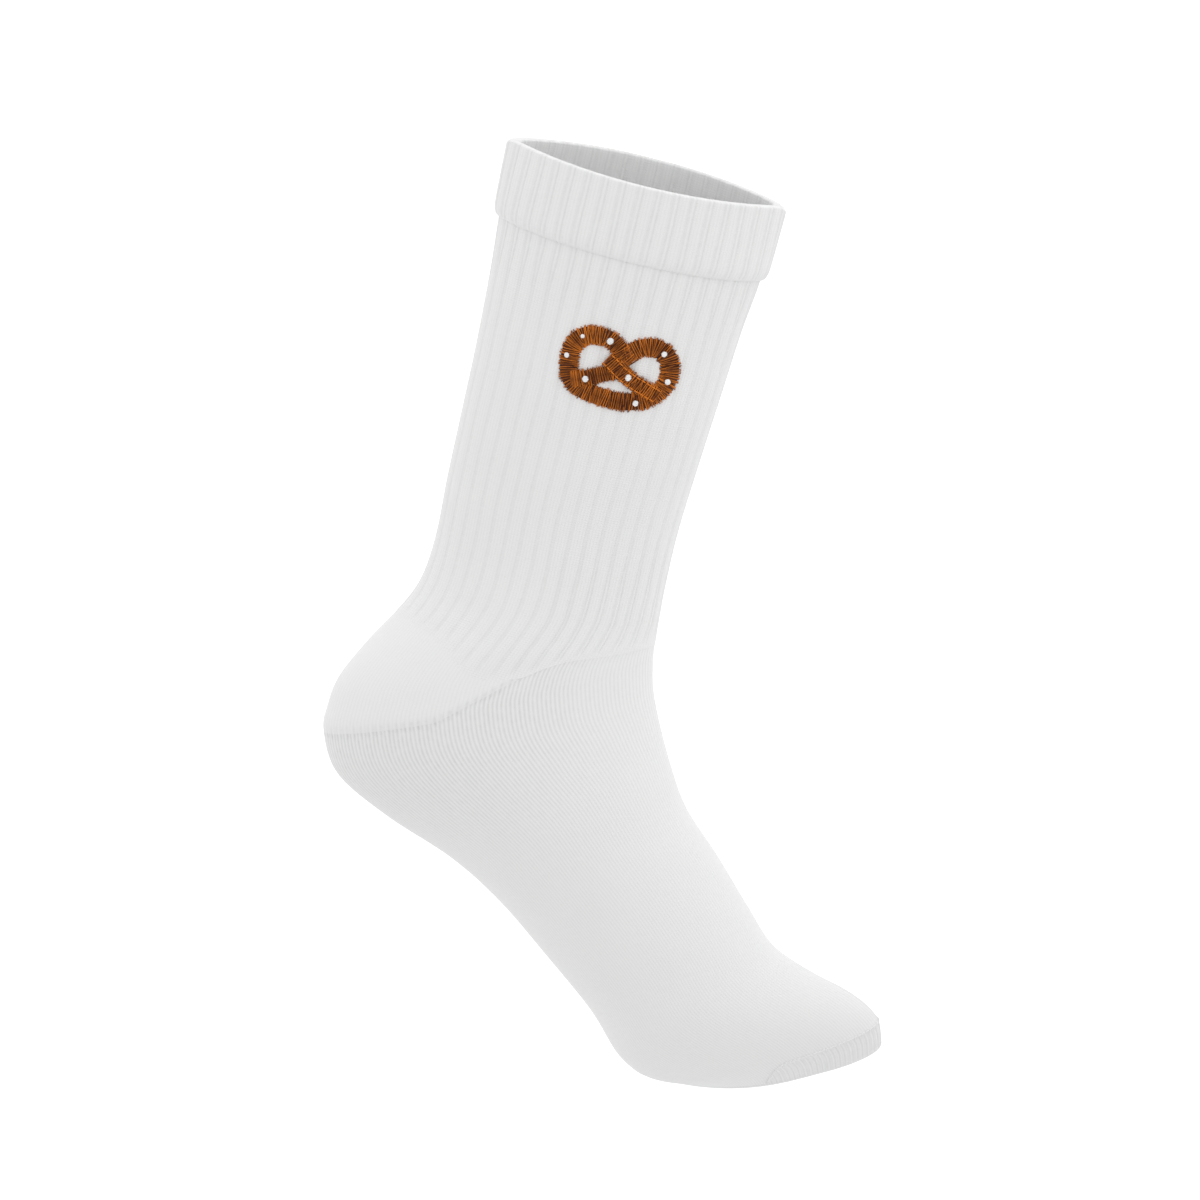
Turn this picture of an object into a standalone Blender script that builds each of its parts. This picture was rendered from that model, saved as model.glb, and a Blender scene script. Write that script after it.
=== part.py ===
"""A worn-shaped ribbed crew sock lying on its side, with an embroidered pretzel on the leg.

The leg runs along +Y towards its open mouth, the toes point to +X and -Y, and +Z is up, so the
side with the embroidery faces up. The whole knit follows one surface: a row of lens-shaped
sections, each laid between a point on the back seam line and a point on the front line. The knit
zones are separate solids: the doubled cuff, the leg, the heel pocket, the foot and the toe.
"""
import math

import bmesh
import bpy
import numpy as np

MM = 0.001

# Fabric, in metres.
WALL = 2.0 * MM                 # terry-lined knit
CUFF_PROUD = 1.5 * MM           # the doubled cuff stands this far out of the leg
CUFF_WALL = 3.0 * MM
BOW_POWER_BACK = 2.0            # the bow fades towards the edges as this power of the sine
BOW_POWER_FRONT = 0.7
BOW_POWER_CHANGE = (-0.2, 0.6)  # cosines of the angles between which the power changes
EDGE_FACTOR = 1.6               # the folded edge of a lens needs more inset than its flat side
JOIN_GAP = 0.3 * MM             # clearance between neighbouring solids
REST_PRESS = 0.6 * MM           # how far the underside is pressed flat where it rests

# Sections of the sock, from the mouth to the toe end. Millimetres, with the mouth's centre at
# 0, 0: back point, front point, full depth, height of the underside above the floor, bow, which
# is how far the middle of the section bulges towards the toe end, and lens power, which is 1 for
# an ellipse and 2 for a pointed lens.
SECTIONS = (
    ((-52.8, 0.0), (53.3, 0.0), 57.0, 1.5, 0.0, 1.7),
    ((-51.2, -30.0), (52.4, -30.0), 56.5, 1.5, 0.0, 1.4),
    ((-49.3, -52.0), (50.2, -52.0), 56.0, 1.0, 0.0, 1.25),
    ((-47.8, -80.0), (48.4, -80.0), 55.2, 0.3, 0.0, 1.15),
    ((-47.0, -108.0), (46.6, -108.0), 54.0, 0.0, 0.0, 1.1),
    ((-46.3, -135.0), (45.2, -135.0), 52.5, 0.0, 0.0, 1.1),
    ((-45.2, -160.0), (45.5, -157.0), 52.0, 0.0, 0.0, 1.1),
    ((-47.0, -178.0), (46.2, -169.0), 53.0, 0.0, 0.0, 1.15),
    ((-53.0, -192.0), (46.6, -174.5), 54.5, 0.0, 0.0, 1.2),
    ((-61.0, -206.0), (46.9, -178.0), 56.0, 0.0, 0.0, 1.2),
    ((-68.3, -222.0), (47.1, -181.0), 57.0, 0.0, 0.0, 1.2),
    ((-70.0, -234.0), (47.4, -183.5), 57.7, 0.0, 0.0, 1.2),
    ((-69.0, -245.0), (48.0, -187.0), 58.0, 0.0, 0.0, 1.2),
    ((-59.6, -260.0), (50.6, -197.0), 58.0, 0.0, 0.0, 1.2),
    ((-37.4, -271.3), (55.6, -208.5), 57.5, 0.0, 0.0, 1.2),
    ((-9.9, -281.2), (63.2, -223.0), 56.5, 0.0, 0.0, 1.2),
    ((12.2, -293.3), (73.8, -239.6), 55.0, 0.0, 0.0, 1.2),
    ((35.0, -310.2), (90.3, -255.7), 53.0, 0.0, 0.0, 1.2),
    ((56.7, -327.2), (107.3, -273.4), 51.0, 0.0, 0.0, 1.2),
    ((70.2, -341.0), (119.8, -285.3), 48.0, 1.5, 0.5, 1.2),
    ((79.0, -346.6), (136.0, -291.4), 42.0, 4.5, 2.0, 1.2),
    ((84.8, -348.2), (150.4, -295.0), 34.0, 8.5, 4.0, 1.2),
    ((88.8, -348.5), (160.2, -299.0), 25.0, 13.0, 6.6, 1.2),
    ((91.8, -348.4), (166.2, -303.8), 15.5, 17.7, 7.6, 1.2),
    ((94.2, -348.0), (169.0, -310.8), 6.0, 22.5, 8.0, 1.2),
)
CUFF_END = 1.02                 # these count sections from the mouth, in part steps
RIB_END_BACK = 8.0
GORE = 12.0                     # the line under the heel pocket, at the back
GORE_CLIMB = (-0.35, 0.5)       # cosines of the angles between which it climbs towards the instep
GORE_LIFT = 2.5                 # and how many sections higher it is at the instep
TOE_START = 18.4
TOE_END = float(len(SECTIONS) - 1)
TOE_HOLLOW_END = 22.6
GORE_SPAN = 0.6                 # share of the width that the heel pocket reaches across
HEEL_TIP = 3.5 * MM             # the heel pocket's solid stops where it gets this narrow

AROUND = 44                     # faces round a tube
HEEL_AROUND = 26

# Toe seam: a round bead over the tip, set back from the toe end.
SEAM_AT = 22.9                  # at the tip
SEAM_DRIFT = 0.7                # and this much nearer the leg at its ends
SEAM_REACH = math.radians(97.0)
SEAM_END_GAP = 0.3              # sections between its ends and the toe end
SEAM_TURN = math.radians(16.0)  # its ends turn down to the toe end over this angle
SEAM_RADIUS = 0.7 * MM
SEAM_POINTS = 36

# Embroidered pretzel: the paths of its one rope, in millimetres from its centre. The loop is the
# right lobe, the belly and the left lobe. From the left lobe the rope twists over the loop's
# start, and the two arms go down from the twist, the falling arm on top.
PRETZEL_CENTRE = (7.5, -72.3)
LOOP_PATH = (
    (-1.3, 4.7), (2.8, 7.1), (6.5, 10.0), (12.4, 11.3), (17.6, 8.2), (19.8, 2.0), (18.4, -4.4),
    (13.2, -9.6), (5.0, -12.2), (-4.0, -12.2), (-12.3, -10.9), (-17.0, -7.6), (-18.8, -1.5),
    (-18.7, 4.7), (-15.8, 9.2), (-10.6, 11.3),
)
TWIST_PATH = ((-13.9, 10.3), (-10.2, 11.3), (-5.0, 10.6), (-0.2, 7.3), (4.4, 3.4))
RISING_ARM = ((3.5, 2.5), (0.6, -0.4), (-3.2, -2.4), (-7.7, -4.6), (-12.6, -6.9), (-16.2, -8.2))
FALLING_ARM = ((-4.8, 3.5), (0.6, -0.1), (5.1, -2.7), (10.8, -5.0), (16.6, -7.2))
LOOP_WIDTH = 7.3 * MM
ARM_WIDTH = 6.2 * MM
THREAD_HEIGHT = 1.0 * MM
PATH_STEPS = 3                  # straight pieces between two path points
LAYER_STEP = 0.05 * MM          # the four bands differ by this, so that no two faces coincide

SALT_PLACES = (
    (-15.8, 9.7), (-5.3, 10.5), (-19.9, 0.8), (15.4, 9.8),
    (-11.0, -6.4), (4.4, -2.0), (19.1, -0.8), (9.4, -11.4),
)
SALT_RADIUS = 1.2 * MM
SALT_HEIGHT = 0.8 * MM

COLOURS = {
    "knit": ((0.78, 0.78, 0.78), 0.92),
    "thread": ((0.33, 0.08, 0.01), 0.55),
    "salt": ((0.86, 0.86, 0.86), 0.6),
}


def clear_scene():
    """Remove whatever the scene holds."""
    for item in list(bpy.data.objects):
        bpy.data.objects.remove(item, do_unlink=True)


def make_material(name):
    """Return a plain Principled material of one of the named colours."""
    colour, roughness = COLOURS[name]
    material = bpy.data.materials.new(name)
    material.use_nodes = True
    shader = material.node_tree.nodes["Principled BSDF"]
    shader.inputs["Base Color"].default_value = (*colour, 1.0)
    shader.inputs["Roughness"].default_value = roughness
    shader.inputs["Metallic"].default_value = 0.0
    return material


def smooth_curve(values, at):
    """Read a Catmull-Rom curve through rows of values; whole numbers in `at` are the rows."""
    rows = np.asarray(values, dtype=float)
    at = np.clip(np.asarray(at, dtype=float), 0.0, len(rows) - 1.0)
    first = np.minimum(at.astype(int), len(rows) - 2)
    t = (at - first)[..., None]
    before = rows[np.maximum(first - 1, 0)]
    start = rows[first]
    end = rows[first + 1]
    after = rows[np.minimum(first + 2, len(rows) - 1)]
    return 0.5 * (
        2 * start
        + (end - before) * t
        + (2 * before - 5 * start + 4 * end - after) * t**2
        + (3 * start - before - 3 * end + after) * t**3
    )


SECTION_TABLE = [(*back, *front, *shape) for back, front, *shape in SECTIONS]


def ease(value, start, end):
    """Rise smoothly from 0 at start to 1 at end."""
    share = np.clip((value - start) / (end - start), 0.0, 1.0)
    return share * share * (3.0 - 2.0 * share)


def knit_surface(along, around, inset=0.0):
    """Points of the sock's surface, in metres.

    along counts sections from the mouth; around is an angle, 0 at the front line, pi at the back
    line, with the shown side between them; inset moves the surface inwards.
    """
    along, around = np.broadcast_arrays(np.asarray(along, float), np.asarray(around, float))
    table = smooth_curve(SECTION_TABLE, along)
    power = table[..., 7]
    table = table * MM
    back, front = table[..., 0:2], table[..., 2:4]
    depth, rise, bow = table[..., 4], np.maximum(table[..., 5], 0.0), table[..., 6]
    chord = front - back
    width = np.linalg.norm(chord, axis=-1)
    direction = chord / width[..., None]
    towards_toe = np.stack((direction[..., 1], -direction[..., 0]), axis=-1)
    across = (width / 2 - EDGE_FACTOR * inset) * np.cos(around)
    sine = np.sin(around)
    swell = np.sign(sine) * np.abs(sine) ** power
    to_front = ease(np.cos(around), *BOW_POWER_CHANGE)
    bow_power = BOW_POWER_BACK + (BOW_POWER_FRONT - BOW_POWER_BACK) * to_front
    plan = (back + front) / 2 + direction * across[..., None]
    plan = plan + towards_toe * (bow * np.abs(sine) ** bow_power)[..., None]
    height = rise - REST_PRESS + depth / 2 + (depth / 2 - inset) * swell
    height = np.maximum(height, rise + inset)
    return np.concatenate((plan, height[..., None]), axis=-1)


def moved_along(along, around, distance):
    """Section count that lies `distance` further down the surface than `along`."""
    small = 0.02
    here = knit_surface(along, around)
    there = knit_surface(np.minimum(along + small, TOE_END), around)
    return along + distance * small / np.linalg.norm(there - here, axis=-1)


def gore_line(around):
    """Section count of the line where the foot begins, which climbs from the heel to the instep."""
    return GORE - GORE_LIFT * ease(np.cos(around), *GORE_CLIMB)


def rib_end(around):
    """Section count where the ribs stop: it drops from the back line to the gore's side point."""
    share = (np.cos(around) + 1) / (2 * GORE_SPAN)
    return RIB_END_BACK + (gore_line(around) - RIB_END_BACK) * np.clip(share, 0.0, 1.0) ** 2


def add_object(name, mesh, material):
    """Put a mesh in the scene under a node name, smooth shaded where it is round."""
    piece = bpy.data.objects.new(name, mesh)
    bpy.context.collection.objects.link(piece)
    mesh.materials.clear()
    mesh.materials.append(material)
    mesh.shade_smooth()
    mesh.set_sharp_from_angle(angle=math.radians(40))
    return piece


def mesh_of(name, rows_of_points, faces):
    """Make a mesh from points and faces, with every face turned outwards."""
    mesh = bpy.data.meshes.new(name)
    mesh.from_pydata([tuple(point) for point in rows_of_points], [], faces)
    work = bmesh.new()
    work.from_mesh(mesh)
    bmesh.ops.recalc_face_normals(work, faces=work.faces)
    work.to_mesh(mesh)
    work.free()
    return mesh


def grid_faces(rows, columns, closed, offset=0):
    """Quads of a grid of points stored row after row; closed joins its last column to its first."""
    faces = []
    for row in range(rows - 1):
        for column in range(columns if closed else columns - 1):
            beside = (column + 1) % columns
            low, high = offset + row * columns, offset + (row + 1) * columns
            faces.append((low + column, low + beside, high + beside, high + column))
    return faces


def end_strip(row_start, columns):
    """Quads that close a flattened ring by joining its upper half to its lower half."""
    half = columns // 2
    faces = [(row_start, row_start + 1, row_start + columns - 1)]
    for column in range(1, half - 1):
        faces.append((
            row_start + column,
            row_start + column + 1,
            row_start + columns - column - 1,
            row_start + columns - column,
        ))
    faces.append((row_start + half - 1, row_start + half, row_start + half + 1))
    return faces


def tube_shell(name, outer, inner, closed_end=False):
    """A tube with a wall: two grids of points, joined at the open ends or capped at the far end."""
    rows, columns = outer.shape[:2]
    inner_rows = inner.shape[0]
    start = rows * columns
    faces = grid_faces(rows, columns, True)
    faces += grid_faces(inner_rows, columns, True, start)
    last_outer = (rows - 1) * columns
    last_inner = start + (inner_rows - 1) * columns
    for column in range(columns):
        beside = (column + 1) % columns
        faces.append((column, beside, start + beside, start + column))
        if not closed_end:
            faces.append((
                last_outer + column, last_outer + beside, last_inner + beside, last_inner + column,
            ))
    if closed_end:
        faces += end_strip(last_outer, columns) + end_strip(last_inner, columns)
    points = np.concatenate((outer.reshape(-1, 3), inner.reshape(-1, 3)))
    return mesh_of(name, points, faces)


def patch_shell(name, outer, inner):
    """A curved panel with a wall: two grids of points joined all round their border."""
    rows, columns = outer.shape[:2]
    start = rows * columns
    faces = grid_faces(rows, columns, False) + grid_faces(rows, columns, False, start)
    border = list(range(columns))
    border += [row * columns + columns - 1 for row in range(1, rows)]
    border += [(rows - 1) * columns + column for column in range(columns - 2, -1, -1)]
    border += [row * columns for row in range(rows - 2, 0, -1)]
    for here, there in zip(border, border[1:] + border[:1]):
        faces.append((here, there, start + there, start + here))
    points = np.concatenate((outer.reshape(-1, 3), inner.reshape(-1, 3)))
    return mesh_of(name, points, faces)


def angles_round():
    """Angles of the points round a tube."""
    return np.arange(AROUND) * (2 * math.pi / AROUND)


def zone_grid(top, bottom, rows, around, inset):
    """Grid of points between two edges, each given as a section count at every angle."""
    share = np.linspace(0.0, 1.0, rows)[:, None]
    along = top + (bottom - top) * share
    return knit_surface(along, around, inset)


def make_cuff(material):
    """The doubled rib cuff at the mouth."""
    around = angles_round()
    top = np.zeros(AROUND)
    bottom = moved_along(np.full(AROUND, CUFF_END), around, -JOIN_GAP)
    outer = zone_grid(top, bottom, 4, around, -CUFF_PROUD)
    inner = zone_grid(top, bottom, 4, around, CUFF_WALL - CUFF_PROUD)
    return add_object("cuff", tube_shell("cuff", outer, inner), material)


def make_leg(material):
    """The ribbed leg, from under the cuff to the heel pocket at the back and the foot in front."""
    around = angles_round()
    top = np.full(AROUND, CUFF_END)
    bottom = moved_along(rib_end(around), around, -JOIN_GAP)
    outer = zone_grid(top, bottom, 11, around, 0.0)
    inner = zone_grid(top, bottom, 11, around, WALL)
    return add_object("leg", tube_shell("leg", outer, inner), material)


def make_heel(material):
    """The heel pocket: a wedge between the rib end and the gore, across the back of the sock."""
    search = np.linspace(math.radians(60), math.pi, 400)
    gap = knit_surface(gore_line(search), search) - knit_surface(rib_end(search), search)
    width = np.linalg.norm(gap, axis=-1)
    tip = search[np.argmax(width > HEEL_TIP)]
    around = np.linspace(tip, 2 * math.pi - tip, HEEL_AROUND + 1)
    top = moved_along(rib_end(around), around, JOIN_GAP)
    bottom = moved_along(gore_line(around), around, -JOIN_GAP)
    outer = zone_grid(top, bottom, 8, around, 0.0)
    inner = zone_grid(top, bottom, 8, around, WALL)
    return add_object("heel", patch_shell("heel", outer, inner), material)


def make_foot(material):
    """The plain-knit foot, from the gore and the instep to the toe."""
    around = angles_round()
    top = moved_along(gore_line(around), around, JOIN_GAP)
    bottom = moved_along(np.full(AROUND, TOE_START), around, -JOIN_GAP)
    outer = zone_grid(top, bottom, 10, around, 0.0)
    inner = zone_grid(top, bottom, 10, around, WALL)
    return add_object("foot", tube_shell("foot", outer, inner), material)


def make_toe(material):
    """The toe pocket, closed at its end."""
    around = angles_round()
    top = np.full(AROUND, TOE_START)
    outer = zone_grid(top, np.full(AROUND, TOE_END), 10, around, 0.0)
    inner = zone_grid(top, np.full(AROUND, TOE_HOLLOW_END), 7, around, WALL)
    return add_object("toe", tube_shell("toe", outer, inner, closed_end=True), material)


def surface_normal(along, around):
    """Unit vectors that point out of the knit."""
    small = 0.01
    down = knit_surface(along + small, around) - knit_surface(along - small, around)
    round_it = knit_surface(along, around + small) - knit_surface(along, around - small)
    normal = np.cross(round_it, down)
    return normal / np.linalg.norm(normal, axis=-1)[..., None]


def make_toe_seam(material):
    """The linked seam: a bead that passes over the tip and runs down both sides to the end."""
    around = np.linspace(-SEAM_REACH, SEAM_REACH, SEAM_POINTS)
    turn = np.clip((np.abs(around) - SEAM_REACH + SEAM_TURN) / SEAM_TURN, 0.0, 1.0)
    along = SEAM_AT - SEAM_DRIFT * np.abs(around) / SEAM_REACH
    along = along + (TOE_END - SEAM_END_GAP - along) * turn**2
    out = surface_normal(along, around)
    points = knit_surface(along, around) + out * (SEAM_RADIUS + JOIN_GAP)
    curve = bpy.data.curves.new("toe_seam_path", "CURVE")
    curve.dimensions = "3D"
    curve.bevel_depth = SEAM_RADIUS
    curve.bevel_resolution = 1
    curve.use_fill_caps = True
    spline = curve.splines.new("POLY")
    spline.points.add(len(points) - 1)
    for target, point in zip(spline.points, points):
        target.co = (*point, 1.0)
    seam = bpy.data.objects.new("toe_seam", curve)
    bpy.context.collection.objects.link(seam)
    curve.materials.append(material)
    return seam


def place_on_leg(plan, lift):
    """Points above the leg's shown side: plan holds x, y in metres, lift the height over it."""
    table = np.linspace(1.0, 6.0, 120)
    rows = smooth_curve(SECTION_TABLE, table) * MM
    slope = (rows[:, 3] - rows[:, 1]) / (rows[:, 2] - rows[:, 0])
    points = []
    for (x, y), height in zip(plan, lift):
        chord_y = rows[:, 1] + slope * (x - rows[:, 0])
        along = np.interp(-y, -chord_y, table)
        back_x, front_x = np.interp(along, table, rows[:, 0]), np.interp(along, table, rows[:, 2])
        around = math.acos((2 * x - back_x - front_x) / (front_x - back_x))
        points.append(knit_surface(along, around) + surface_normal(along, around) * height)
    return np.array(points)


def pretzel_band(name, path, width, layer):
    """One embroidered band: a low rounded ridge swept along a path and laid on the leg."""
    steps = (len(path) - 1) * PATH_STEPS + 1
    line = smooth_curve(path, np.linspace(0, len(path) - 1, steps)) * MM
    line = line + np.array(PRETZEL_CENTRE) * MM
    tangent = np.gradient(line, axis=0)
    tangent /= np.linalg.norm(tangent, axis=1)[:, None]
    side = np.stack((-tangent[:, 1], tangent[:, 0]), axis=1)
    floor = JOIN_GAP + layer
    top = floor + THREAD_HEIGHT
    profile = ((-0.5, floor), (-0.5, (floor + top) / 2), (-0.3, top), (0.3, top),
               (0.5, (floor + top) / 2), (0.5, floor))
    plan = np.concatenate([line + side * (share * width) for share, _ in profile])
    lift = np.concatenate([np.full(steps, height) for _, height in profile])
    points = place_on_leg(plan, lift).reshape(len(profile), steps, 3).transpose(1, 0, 2)
    count = len(profile)
    faces = grid_faces(steps, count, True)
    faces.append(tuple(range(count)))
    faces.append(tuple((steps - 1) * count + place for place in range(count)))
    return mesh_of(name, points.reshape(-1, 3), faces)


def make_pretzel(material):
    """The pretzel: the loop, with the twist and the two arms joined on by Boolean unions."""
    pretzel = add_object("pretzel", pretzel_band("pretzel", LOOP_PATH, LOOP_WIDTH, 0.0), material)
    joined_on = (
        ("twist", TWIST_PATH, LOOP_WIDTH, 1),
        ("rising_arm", RISING_ARM, ARM_WIDTH, 2),
        ("falling_arm", FALLING_ARM, ARM_WIDTH, 3),
    )
    for name, path, width, layer in joined_on:
        mesh = pretzel_band(name, path, width, layer * LAYER_STEP)
        arm = add_object(name, mesh, material)
        arm.hide_render = True
        arm.display_type = "WIRE"
        join = pretzel.modifiers.new(name, "BOOLEAN")
        join.operation = "UNION"
        join.object = arm
    return pretzel


def make_salt(material):
    """The salt grains: low domes of white thread on the pretzel, one node each."""
    lift = 2 * JOIN_GAP + 3 * LAYER_STEP + THREAD_HEIGHT + SALT_HEIGHT / 2
    centre = np.array(PRETZEL_CENTRE)
    spots = [(centre + np.array(place)) * MM for place in SALT_PLACES]
    points = place_on_leg(spots, [lift] * len(spots))
    feet = place_on_leg(spots, [0.0] * len(spots))
    work = bmesh.new()
    bmesh.ops.create_uvsphere(work, u_segments=10, v_segments=6, radius=SALT_RADIUS)
    bmesh.ops.scale(work, vec=(1.0, 1.0, SALT_HEIGHT / 2 / SALT_RADIUS), verts=work.verts)
    for number, (point, foot) in enumerate(zip(points, feet), start=1):
        mesh = bpy.data.meshes.new(f"salt_{number}")
        work.to_mesh(mesh)
        grain = add_object(f"salt_{number}", mesh, material)
        upward = point - foot
        grain.location = point
        grain.rotation_euler = (-math.atan2(upward[1], upward[2]), math.atan2(upward[0], upward[2]), 0)
    work.free()


def stand_on_origin():
    """Move everything so that the middle of the whole sock's plan is at x = y = 0."""
    dense = knit_surface(
        np.linspace(0, TOE_END, 600)[:, None], np.linspace(0, 2 * math.pi, 240)[None, :],
    )
    cuff = knit_surface(np.linspace(0, 1, 20)[:, None], np.linspace(0, 2 * math.pi, 240), -CUFF_PROUD)
    spots = np.concatenate((dense.reshape(-1, 3), cuff.reshape(-1, 3)))[:, :2]
    middle = (spots.min(axis=0) + spots.max(axis=0)) / 2
    for piece in bpy.data.objects:
        piece.location.x -= middle[0]
        piece.location.y -= middle[1]


def main():
    """Build the sock."""
    clear_scene()
    knit, thread, salt = (make_material(name) for name in ("knit", "thread", "salt"))
    make_cuff(knit)
    make_leg(knit)
    make_heel(knit)
    make_foot(knit)
    make_toe(knit)
    make_toe_seam(knit)
    make_pretzel(thread)
    make_salt(salt)
    stand_on_origin()


main()
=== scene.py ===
"""Looks of a white ribbed crew sock that lies on its side, with an embroidered pretzel on its leg.

The knit is one surface, a row of lens-shaped sections, with the ribs, wales, seams and gathers
raised on it as relief. The embroidery is made of single satin stitches laid over the leg.
All lengths are metres unless a name says otherwise.
"""

import logging
import math
from dataclasses import dataclass, field
from enum import Enum
from functools import reduce

import bpy
import numpy as np
from mathutils import Matrix, Vector


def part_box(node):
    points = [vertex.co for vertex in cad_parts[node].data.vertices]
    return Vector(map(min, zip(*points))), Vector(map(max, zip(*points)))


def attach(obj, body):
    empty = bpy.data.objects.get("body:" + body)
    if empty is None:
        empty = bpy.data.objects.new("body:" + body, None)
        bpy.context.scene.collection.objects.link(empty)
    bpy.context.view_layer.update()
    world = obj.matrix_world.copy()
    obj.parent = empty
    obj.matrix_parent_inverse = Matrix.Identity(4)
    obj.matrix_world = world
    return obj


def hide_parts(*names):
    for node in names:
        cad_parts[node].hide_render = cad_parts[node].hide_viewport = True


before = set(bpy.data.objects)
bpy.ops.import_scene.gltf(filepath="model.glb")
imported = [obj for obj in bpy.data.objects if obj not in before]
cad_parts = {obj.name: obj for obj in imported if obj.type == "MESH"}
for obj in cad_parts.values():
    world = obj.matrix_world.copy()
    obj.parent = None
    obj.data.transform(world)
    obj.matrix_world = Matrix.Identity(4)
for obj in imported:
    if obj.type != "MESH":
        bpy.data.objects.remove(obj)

LOG = logging.getLogger("sock")
MM = 0.001
TURN = 2.0 * math.pi
ROOT_BODY = "root"
SHARP_ANGLE = math.radians(72.0)
Array = np.ndarray
Material = bpy.types.Material
Piece = bpy.types.Object
Socket = bpy.types.NodeSocket
UV_NAME = "knit"
WHITE_LIGHT = (1.0, 1.0, 1.0)


class Slot(Enum):
    """The record's material slots."""

    RIB = "knit_rib"
    PLAIN = "knit_plain"
    SEAM = "seam_yarn"
    BROWN = "thread_brown"
    WHITE = "thread_white"


def smooth_curve(rows: Array, at: Array) -> Array:
    """Read a Catmull-Rom curve through rows of values.

    Between rows p1 and p2, with p0 before and p3 after, the value is
    (2 p1 + (p2 - p0) t + (2 p0 - 5 p1 + 4 p2 - p3) t^2 + (3 p1 - p0 - 3 p2 + p3) t^3) / 2.

    Args:
        rows: the values, one row for each whole number of `at`.
        at: where to read the curve.

    Returns:
        The values, with the shape of `at` followed by the shape of one row.
    """
    rows = np.asarray(rows, dtype=float)
    at = np.clip(np.asarray(at, dtype=float), 0.0, len(rows) - 1.0)
    first = np.minimum(at.astype(int), len(rows) - 2)
    t = (at - first).reshape(at.shape + (1,) * (rows.ndim - 1))
    before, start = rows[np.maximum(first - 1, 0)], rows[first]
    end, after = rows[first + 1], rows[np.minimum(first + 2, len(rows) - 1)]
    return 0.5 * (
        2 * start
        + (end - before) * t
        + (2 * before - 5 * start + 4 * end - after) * t**2
        + (3 * start - before - 3 * end + after) * t**3
    )


def unit(vectors: Array) -> Array:
    """Scale vectors to length one, leaving a zero vector alone."""
    length = np.linalg.norm(vectors, axis=-1, keepdims=True)
    return vectors / np.maximum(length, 1e-12)


def ease(value: Array, start: float, end: float) -> Array:
    """Rise from 0 at `start` to 1 at `end` along 3 t^2 - 2 t^3."""
    t = np.clip((np.asarray(value, dtype=float) - start) / (end - start), 0.0, 1.0)
    return t * t * (3.0 - 2.0 * t)


def bell(value: Array, width: float) -> Array:
    """A bump of height 1 at value 0, exp(-(value / width)^2)."""
    return np.exp(-((np.asarray(value, dtype=float) / width) ** 2))


def passed(points: Array) -> Array:
    """Distance passed along the first axis of rows of points, 0 at the first row."""
    step = np.linalg.norm(np.diff(points, axis=0), axis=-1)
    return np.concatenate((np.zeros_like(step[:1]), np.cumsum(step, axis=0)))


def from_front(around: Array) -> Array:
    """Angle from the front line, 0 to pi, on either side of the sock."""
    return np.abs((around + math.pi) % TURN - math.pi)


def ring_faces(first: int, second: int, columns: int) -> Array:
    """Faces from one closed ring of points to another, given the number of each one's first point."""
    column = np.arange(columns)
    beside = (column + 1) % columns
    return np.stack((first + column, first + beside, second + beside, second + column), axis=-1)


@dataclass
class MeshData:
    """Points and faces of a mesh, with a UV map and values held at the points.

    Attributes:
        points: n by 3 array.
        faces: m by 4 array of point numbers.
        corner_uv: m by 4 by 2 array, one UV for each corner of each face.
        values: named arrays of n numbers.
    """

    points: Array
    faces: Array
    corner_uv: Array
    values: dict[str, Array] = field(default_factory=dict)

    def joined(self, other: "MeshData") -> "MeshData":
        """Return this mesh and another as one, which keep the values that both have."""
        shift = len(self.points)
        values = {
            name: np.concatenate((array, other.values[name]))
            for name, array in self.values.items()
            if name in other.values
        }
        return MeshData(
            np.concatenate((self.points, other.points)),
            np.concatenate((self.faces, other.faces + shift)),
            np.concatenate((self.corner_uv, other.corner_uv)),
            values,
        )

    def inside_out(self) -> "MeshData":
        """Return the mesh with its faces turned the other way."""
        return MeshData(self.points, self.faces[:, ::-1], self.corner_uv[:, ::-1], self.values)

    def add_faces(self, faces: Array) -> None:
        """Add faces that hold no pattern, such as rims and caps."""
        self.faces = np.concatenate((self.faces, faces))
        self.corner_uv = np.concatenate((self.corner_uv, np.zeros((len(faces), 4, 2))))

    def object(self, name: str, slot: Slot, material: Material) -> Piece:
        """Make the Blender object, smooth shaded, and let it ride on the sock's one body.

        Args:
            name: the piece's name.
            slot: the record's slot that its finish belongs to; not used.
            material: its material.

        Returns:
            The new object.
        """
        mesh = bpy.data.meshes.new(name)
        mesh.vertices.add(len(self.points))
        mesh.vertices.foreach_set("co", self.points.astype(np.float32).ravel())
        mesh.loops.add(self.faces.size)
        mesh.loops.foreach_set("vertex_index", self.faces[:, ::-1].astype(np.int32).ravel())
        mesh.polygons.add(len(self.faces))
        mesh.polygons.foreach_set("loop_start", np.arange(len(self.faces), dtype=np.int32) * 4)
        mesh.polygons.foreach_set("use_smooth", np.ones(len(self.faces), dtype=bool))
        layer = mesh.uv_layers.new(name=UV_NAME)
        mesh.update(calc_edges=True)
        layer.data.foreach_set("uv", self.corner_uv[:, ::-1].astype(np.float32).ravel())
        for value_name, array in self.values.items():
            attribute = mesh.attributes.new(value_name, "FLOAT", "POINT")
            attribute.data.foreach_set("value", array.astype(np.float32).ravel())
        mesh.set_sharp_from_angle(angle=SHARP_ANGLE)
        mesh.materials.append(material)
        piece = bpy.data.objects.new(name, mesh)
        bpy.context.collection.objects.link(piece)
        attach(piece, ROOT_BODY)
        return piece


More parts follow.
